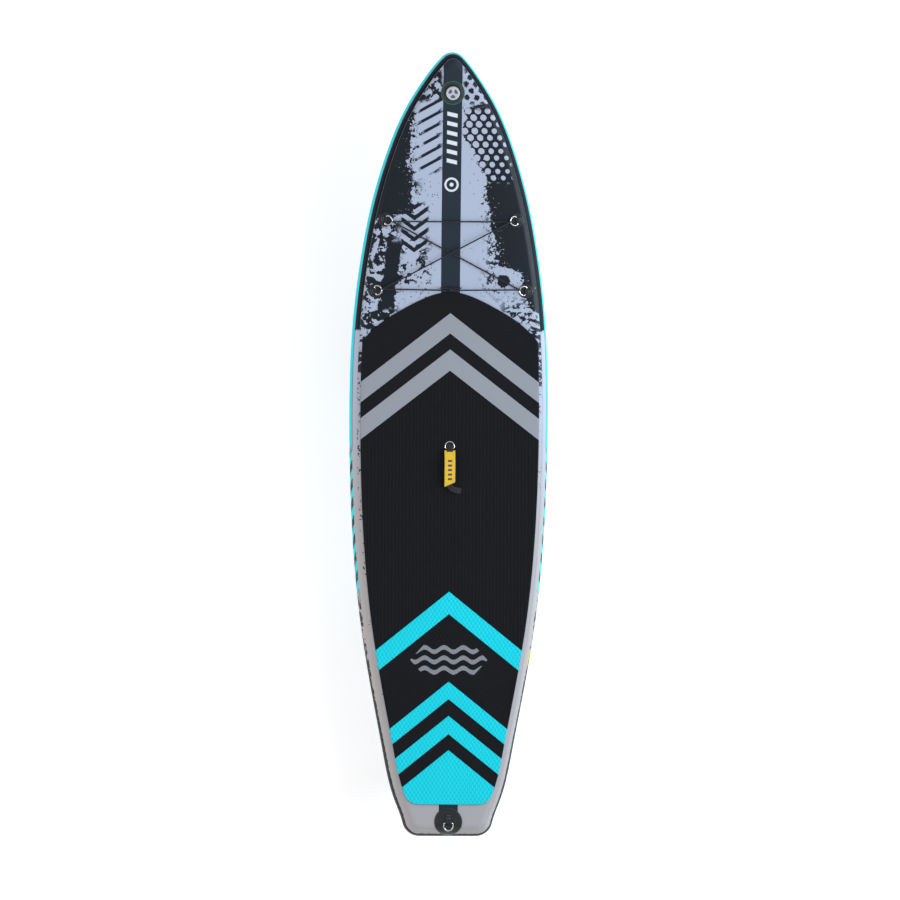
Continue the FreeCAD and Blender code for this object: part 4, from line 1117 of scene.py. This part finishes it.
def traction_pad():
    """The pad's pieces, each from its own front line back to the next one's."""
    for i, (node, front, steepness, look, relief) in enumerate(PAD_PIECES):
        following = PAD_PIECES[i + 1][1:3] if i + 1 < len(PAD_PIECES) else (-9.0, 0.0)
        ahead = chevron(9.0 if front is None else front - CUT, steepness)
        behind = chevron(following[0] + CUT, following[1])

        def high(x, ahead=ahead):
            return np.minimum(pad_high(x), ahead(x))

        def low(x, behind=behind):
            return np.maximum(pad_low(x), behind(x))

        if relief is groove_relief:
            columns, rows, step = groove_columns(), 60, None
        elif relief is diamond_relief:
            columns, rows, step = even_columns(SCALE_STEP), 20, SCALE_STEP
        else:
            columns, rows, step = even_columns(PLAIN_STEP), 24, None
        foam_sheet("foam_" + node, high, low, columns, rows, relief, look, node, step)


# ---- patches and tabs ----
PATCH_LIP, RIDGE_HALF = 0.0011, 0.0008
PATCH_RINGS, PATCH_TURNS = 40, 72


def round_patch(name, x, y, radius, look, node, inner=0.0, base=0.0, ridges=()):
    """Welded round patch draped over the deck, with ridges pressed into it."""
    r = np.linspace(max(inner, radius * 0.04), radius, PATCH_RINGS)
    turn = np.linspace(0, 2 * math.pi, PATCH_TURNS, endpoint=False)
    edge = np.clip((radius - r) / PATCH_LIP, 0, 1)
    if inner:
        edge = np.minimum(edge, np.clip((r - inner) / PATCH_LIP, 0, 1))
    height = PATCH[0] + (PATCH[1] - PATCH[0]) * np.sqrt(edge)
    for middle, rise in ridges:
        height = height + rise * np.exp(-(((r - middle) / RIDGE_HALF) ** 2))
    px = x + r[:, None] * np.cos(turn)
    py = y + r[:, None] * np.sin(turn)
    z = deck_height(px, py) + base + height[:, None]
    top = np.stack([px, py, z], axis=-1)
    on_deck = top.copy()
    on_deck[..., 2] = deck_height(px, py)
    grid = np.concatenate([top, on_deck[-1:]])
    if inner:
        grid = np.concatenate([on_deck[:1], grid])
    faces = [f[::-1] for f in grid_faces(len(grid), len(turn), True)]
    if not inner:
        faces.append(list(range(len(turn))))
    new_piece(name, grid.reshape(-1, 3), faces, look, "board", [node], sharp=50)


def strap(name, path, sides, width, thick, nodes):
    points, faces, marks = sweep(path, strap_section(width, thick), sides)
    new_piece(name, points, faces, "webbing", "board", nodes, marks, 50)


def folded_tab(name, reach, place, node):
    """Webbing folded round a ring's bar and sewn to itself; place holds the ring's frame."""
    r = WIRE + WIRE_GAP + WEB_THICK / 2
    low, high = TAB_LIFT + WEB_THICK / 2, TAB_LIFT + WEB_THICK * 1.5
    fold = [(r * math.cos(a), BAR + r * math.sin(a)) for a in np.radians(np.linspace(-95, 95, 13))]
    under = [(-reach, low), (-0.6 * reach, low), (-0.40 * reach, low + 0.0001)]
    over = [(u, w + high - low) for u, w in under[::-1]]
    path = moved([(u, 0.0, w) for u, w in under + fold + over], place)
    side = np.array(place.to_3x3()) @ (0, 1, 0)
    strap(name, path, [side] * len(path), WEB, WEB_THICK, [node])
    rows = [-0.52 * reach, -0.84 * reach]
    sew(name + "_stitches", rows, high + WEB_THICK / 2, place)


THREAD_R, STITCHES, STITCH_HALF = 0.00035, 9, 0.0095
STITCH_ARCH = [                # share of the pitch along the row, and height above the webbing
    (0.12, -0.0002), (0.32, 0.0003), (0.68, 0.0003), (0.88, -0.0002),
]


def sew(name, rows, height, place):
    """Rows of stitches across a tab, each a small arch of thread."""
    points, faces = [], []
    pitch = 2 * STITCH_HALF / STITCHES
    for row in rows:
        for k in range(STITCHES):
            path = [(row, pitch * (k + share) - STITCH_HALF, height + rise)
                    for share, rise in STITCH_ARCH]
            thread, thread_faces, _ = sweep(path, circle(THREAD_R, 6), [(1, 0, 0)] * len(path))
            faces += [[i + len(points) for i in face] for face in thread_faces]
            points += thread.tolist()
    new_piece(name, moved(points, place), faces, "thread", "board")


def deck_points():
    """Patches and tabs of the bungee's rings and of the leash ring."""
    for corner, (x, y, turn) in RINGS.items():
        round_patch("patch_" + corner, x, y, BUNGEE_PATCH_R, "pvc", "bungee_patch_" + corner,
                    ridges=[(BUNGEE_PATCH_R - 0.0035, 0.0005)])
        folded_tab("tab_" + corner, BUNGEE_TAB, deck_matrix(x, y, turn), "bungee_tab_" + corner)
    round_patch("patch_leash", 0.0, LEASH_PATCH_Y, LEASH_PATCH_R, "pvc", "leash_patch",
                base=BAND, ridges=[(LEASH_PATCH_R - 0.005, 0.0006)])
    folded_tab("tab_leash", LEASH_TAB, deck_matrix(0, LEASH_Y, -90, BAND), "leash_tab")
    mid = sum(VALVE_RING) / 2
    round_patch("valve_patch_ring", 0.0, VALVE_Y, VALVE_RING[1], "valve_ring", "valve_patch",
                inner=VALVE_RING[0], ridges=[(mid, 0.0006), (mid - 0.006, 0.0005)])


CAP_TURNS, CAP_RIBS, CAP_RIB_HIGH = 180, 30, 0.0007
SCOOPS, SCOOP_TURN, SCOOP_WIDE = 3, 0.5, 0.35
SCOOP_IN, SCOOP_OUT, SCOOP_DEEP, SCOOP_WALL = 0.0065, 0.0200, 0.0030, 0.0015
CAP_BEAD = (0.0225, 0.0240, 0.0005)            # inner and outer radius, and height


def valve_cap():
    """Screw cap with three scoops for the fingers and ribs round its side."""
    around = np.linspace(0, 2 * math.pi, CAP_TURNS, endpoint=False)
    lobe = np.clip((np.cos(SCOOPS * (around - SCOOP_TURN)) + SCOOP_WIDE) / SCOOP_WIDE, 0, 1)
    knurl = CAP_RIB_HIGH * np.clip(np.cos(CAP_RIBS * around), -0.2, 1)
    flat = [(r, CAP_TOP, 0.0) for r in np.linspace(0.0008, CAP_R - 0.0022, 34)]
    bevel = [(CAP_R - 0.0014, CAP_TOP - 0.0002, 0.3), (CAP_R - 0.0004, CAP_TOP - 0.0011, 0.8)]
    side = [(CAP_R, z, 1.0) for z in (CAP_TOP - 0.0020, 0.0100, 0.0060)]
    foot = [(CAP_R, CAP_FOOT + 0.0004, 0.5), (CAP_R - 0.0006, CAP_FOOT, 0.2)]
    rows, marks = [], []
    for r, z, ribbed in flat + bevel + side + foot:
        within = min(r - SCOOP_IN, SCOOP_OUT - r) / SCOOP_WALL
        sink = min(max(within, 0.0), 1.0) * lobe
        sink = sink * sink * (3 - 2 * sink)
        reach = r - knurl * ribbed
        height = z - SCOOP_DEEP * sink + CAP_BEAD[2] * (CAP_BEAD[0] < r < CAP_BEAD[1])
        rows.append(np.column_stack([reach * np.cos(around), reach * np.sin(around), height]))
        # the first mark is how far each point sinks into a scoop; the cap's material paints shade by it
        marks.append(np.column_stack([sink, np.full(CAP_TURNS, r / CAP_R)]))
    points = moved(np.concatenate(rows), deck_matrix(0, VALVE_Y))
    faces = [f[::-1] for f in tube_faces(len(rows), CAP_TURNS)]
    new_piece("valve_screw_cap", points, faces, "cap", "valve_cap", ["valve_cap"],
              np.concatenate(marks), 35)


SPRING_R, SPRING_WIRE, SPRING_PITCH = 0.0056, 0.0005, 0.0019
SPRING_LOW, SPRING_RISE = -0.0162, 0.0064      # foot below the deck, and length


def valve_spring():
    """Coil under the plunger's head, built at one fixed length."""
    turn = np.linspace(0, 2 * math.pi * SPRING_RISE / SPRING_PITCH, 90)
    rise = SPRING_LOW + SPRING_RISE * turn / turn[-1]
    coil = np.column_stack([SPRING_R * np.cos(turn), SPRING_R * np.sin(turn), rise])
    place = deck_matrix(0.0, VALVE_Y)
    path = moved(coil, place)
    points, faces, marks = sweep(path, circle(SPRING_WIRE, 10), carried_sides(path))
    piece = new_piece("valve_coil", points, faces, "metal", None, ["valve_spring"], marks)
    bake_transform(piece)


# ---- bungee ----
CORD_ROWS = 80                 # rows of points from one ring halfway to the next


def hairpin(corner, first_over):
    """The cord's turn round the end of one ring: over it, down inside it and back under it."""
    x, y, turn = RINGS[corner]
    reach = RING_LEG + RING_HALF
    end = (reach * math.cos(RING_TILT), BAR + reach * math.sin(RING_TILT))
    bend = [(end[0] + WRAP * math.cos(a), 0.0, end[1] + WRAP * math.sin(a))
            for a in np.radians(np.linspace(75, 285, 15))]
    bend = moved(bend, deck_matrix(x, y, turn))
    return bend if first_over else bend[::-1]


def run_between(a, b, count):
    return [a + (b - a) * t for t in np.linspace(0, 1, count + 1)[1:-1]]


def cord_tails():
    """The two overlapping ends of the cord at the knot: tail first."""
    z = THICK + float(lift(KNOT_Y))
    front, rear = KNOT_Y + TAIL_STEP, KNOT_Y - 0.002
    low, high = z + TAIL_LOW, z + TAIL_HIGH
    first = [(TAIL_REACH, front + 0.002, low), (0.028, front, low), (0.010, front, low),
             (-0.010, rear, low), (-0.026, rear, low)]
    last = [(-TAIL_REACH, front + 0.001, high - 0.002), (-0.028, front, high),
            (-0.010, front, high), (0.010, rear, high), (0.026, rear, high)]
    return np.array(first), np.array(last)


def bungee():
    """Each stretch of the cord goes round one ring and ends halfway to the next."""
    first, last = cord_tails()
    order = [("rear_port", False), ("front_starboard", True), ("front_port", True),
             ("rear_starboard", False)]
    bends = [np.array(hairpin(corner, over)) for corner, over in order]
    halves = [(a[-1] + b[0]) / 2 for a, b in zip(bends, bends[1:])]
    starts = [first] + [m[None] for m in halves]
    ends = [m[None] for m in halves] + [last[::-1]]
    for (corner, _), start, bend, end in zip(order, starts, bends, ends):
        path = [*start, *run_between(start[-1], bend[0], CORD_ROWS), *bend,
                *run_between(bend[-1], end[0], CORD_ROWS), *end]
        points, faces, marks = sweep(path, circle(CORD, 12), carried_sides(path))
        piece = new_piece("cord_" + corner, points, faces, "cord", None, ["bungee_cord"], marks)
        x, y, turn = RINGS[corner]
        "bungee_ring_" + corner
        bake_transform(piece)


def cord_knot():
    """The two ends are tied together by a few turns round both."""
    turn = np.linspace(0, 2 * math.pi * KNOT_TURNS, 96)
    coil = np.column_stack([
        np.linspace(-KNOT_HALF, KNOT_HALF, 96),
        KNOT_Y + TAIL_STEP / 2 - 0.001 + KNOT_R * np.cos(turn),
        THICK + float(lift(KNOT_Y)) + KNOT_LIFT + KNOT_R * np.sin(turn),
    ])
    points, faces, marks = sweep(coil, circle(KNOT_WIRE, 12), carried_sides(coil))
    new_piece("cord_knot", points, faces, "cord", "board", ["bungee_knot"], marks)


# ---- carry handle ----
PAD_FACE = THICK + PAD_TOP


def arch_height(y):
    """Middle of the handle's strap at y."""
    share = min(max((HANDLE_BAR_Y - y) / (HANDLE_BAR_Y - ARCH_REAR), 0.0), 1.0)
    return PAD_FACE + HANDLE_FOOT + (HANDLE_TOP - HANDLE_FOOT) * math.sin(math.pi * share)


def arch(start, end, count):
    return [(0.0, y, arch_height(y)) for y in np.linspace(start, end, count)]


STRAP_TURN = [                 # x, y, height as a share of the foot's, and the way across
    (0.0015, -0.1720, 1.00, (0.95, 0.22, 0.10)),
    (0.0070, -0.1790, 1.05, (0.72, 0.62, 0.24)),
    (0.0160, -0.1840, 1.00, (0.48, 0.86, 0.26)),
    (0.0280, -0.1870, 0.75, (0.34, 0.93, 0.14)),
    (0.0380, -0.1885, 0.45, (0.28, 0.96, 0.05)),
]
STRAP_END_SIDE = (0.27, 0.96, 0.0)


def handle_strap():
    """Webbing: up from the deck, over the ring's bar, through the sleeve, off to starboard."""
    bar_z = PAD_FACE + HANDLE_BAR_LIFT
    r = WIRE + WIRE_GAP + HANDLE_WEB / 2
    over = [(0.0, HANDLE_BAR_Y + r * math.cos(a), bar_z + r * math.sin(a))
            for a in np.radians((10, 35, 60, 85, 105))]
    path = [(0.0, HANDLE_FRONT + 0.001, THICK + 0.0025), (0.0, HANDLE_FRONT, PAD_FACE + 0.0006)]
    path += over + arch(STRAP_RISE_Y, SLEEVE_REAR, 22)
    sides = [(1.0, 0.0, 0.0)] * len(path)
    for x, y, rise, side in STRAP_TURN:
        path.append((x, y, PAD_FACE + HANDLE_FOOT * rise))
        sides.append(side)
    x, y = HANDLE_REAR
    path += [(x, y, PAD_FACE + 0.001), (x + 0.001, y, THICK + 0.0025)]
    sides += [STRAP_END_SIDE] * 2
    strap("handle_strap", path, sides, WEB, HANDLE_WEB, ["handle_webbing"])
    flap = [(0.0, HANDLE_BAR_Y + 0.002, bar_z + r + HANDLE_WEB * 0.6)]
    for y_flap in np.linspace(-0.021, STRAP_RISE_Y, 4):
        flap.append((0.0, y_flap, arch_height(y_flap) + SLEEVE_THICK / 2 + HANDLE_WEB * 0.45))
    strap("handle_strap_flap", flap, [(1.0, 0.0, 0.0)] * len(flap), WEB, HANDLE_WEB * 0.8, [])


SLEEVE_END, SLEEVE_MOUTH = 0.05, 0.62          # rounded share of its length, thickness there
SLEEVE_CROWN, SEAM_HIGH, SEAM_WIDE = 0.0012, 0.0007, 0.0011
SLEEVE_SLANT = 0.42            # its rear end is cut aslant


def handle_sleeve():
    """Padded neoprene sleeve with a rolled seam along each side."""
    lengths = np.linspace(0, 1, 64)
    around = np.linspace(0, 2 * math.pi, 56, endpoint=False)
    rows = []
    for share in lengths:
        y = SLEEVE_FRONT + (SLEEVE_REAR - SLEEVE_FRONT) * share
        end = min(min(share, 1 - share) / SLEEVE_END, 1.0)
        puff = SLEEVE_MOUTH + (1 - SLEEVE_MOUTH) * math.sqrt(1 - (1 - end) ** 2)
        wave = 1 + 0.010 * math.sin(share * 23) + 0.008 * math.sin(share * 41 + 1)
        row = []
        for a in around:
            c, d = math.cos(a), math.sin(a)
            u = SLEEVE_HALF * wave * math.copysign(abs(c) ** 0.72, c)
            w = SLEEVE_THICK / 2 * puff * math.copysign(abs(d) ** 0.62, d)
            crown = SLEEVE_CROWN * puff * (1 - (u / SLEEVE_HALF) ** 2) * math.copysign(1, d)
            seam = SEAM_HIGH * math.exp(-(((abs(u) - SLEEVE_HALF * 0.90) / SEAM_WIDE) ** 2))
            w += (crown + seam * (d > 0)) * (abs(d) > 0.01)
            slanted = y + SLEEVE_SLANT * u * max(0.0, share - 0.55) / 0.45
            row.append((u, slanted, arch_height(y) + w))
        rows.append(row)
    points = np.array(rows).reshape(-1, 3)
    faces = tube_faces(len(lengths), len(around))
    sleeve = new_piece("grip_sleeve", points, faces, "sleeve", "board", ["handle_sleeve"], sharp=60)


# ---- run ----
CAMERA_FAR, CAMERA_TILT, CAMERA_TURN = 60.0, math.radians(-3.4), math.radians(-0.25)
CAMERA_AIM = (0.0047, -0.0225, 0.10)
VIEW_WIDE = 3.678              # width of the view in metres at the board
SENSOR = 36.0


def camera():
    """Long lens straight above the deck, a little to port."""
    data = bpy.data.cameras.new("camera")
    cam = bpy.data.objects.new("camera", data)
    bpy.context.scene.collection.objects.link(cam)
    back = Vector((math.sin(CAMERA_TILT), 0.0, math.cos(CAMERA_TILT)))
    up = Vector((math.sin(CAMERA_TURN), 1.0, 0.0))
    right = up.cross(back).normalized()
    up = back.cross(right)
    turn = Matrix((right, up, back)).transposed().to_4x4()
    cam.matrix_world = Matrix.Translation(Vector(CAMERA_AIM) + back * CAMERA_FAR) @ turn
    data.sensor_width = SENSOR
    data.lens = SENSOR * CAMERA_FAR / VIEW_WIDE
    data.clip_end = 3 * CAMERA_FAR
    bpy.context.scene.camera = cam


def area_light(name, size, power, place, target, colour):
    data = bpy.data.lights.new(name, "AREA")
    data.shape, data.size, data.size_y = "RECTANGLE", *size
    data.energy, data.color = power, colour
    lamp = bpy.data.objects.new(name, data)
    bpy.context.scene.collection.objects.link(lamp)
    aim = (Vector(target) - Vector(place)).to_track_quat("-Z", "Y")
    lamp.matrix_world = Matrix.Translation(place) @ aim.to_matrix().to_4x4()


SKY_LEVEL, SKY_TO_STARBOARD, SKY_DIM = 0.84, 0.27, 0.72


def sky():
    """Bright all round towards the horizon and dim overhead, as between soft boxes."""
    world = bpy.data.worlds.new("studio")
    bpy.context.scene.world = world
    world.use_nodes = True
    tree = world.node_tree
    place = tree.nodes.new("ShaderNodeTexCoord")
    split = tree.nodes.new("ShaderNodeSeparateXYZ")
    tree.links.new(place.outputs["Generated"], split.inputs[0])
    side, height = Value(tree, split.outputs[0]), Value(tree, split.outputs[2])
    level = (SKY_LEVEL + side * SKY_TO_STARBOARD) * (1 - height.above(0.90, 0.05) * SKY_DIM)
    feed(tree, tree.nodes["Background"].inputs["Strength"], level)
    tree.nodes["Background"].inputs["Color"].default_value = (0.96, 0.98, 1.0, 1.0)


def studio():
    sky()
    area_light("cool_right", (1.2, 4.5), 175, (3.4, 0.4, 2.6), (0, 0.2, 0), (0.74, 0.88, 1.0))
    area_light("warm_left", (1.2, 4.5), 60, (-3.4, -0.8, 2.6), (0, -0.3, 0), (1.0, 0.93, 0.86))
    floor_z = float(cad_low.z) - 0.002
    bpy.ops.mesh.primitive_plane_add(size=60, location=(0, 0, floor_z))
    floor = bpy.context.object
    floor.name = "floor"
    floor.data.materials.append(floor_material())
    bpy.context.scene.view_settings.view_transform = "Standard"


finish_cad_nodes()
hull()
traction_pad()
deck_points()
valve_cap()
valve_spring()
bungee()
cord_knot()
handle_strap()
handle_sleeve()
studio()
camera()
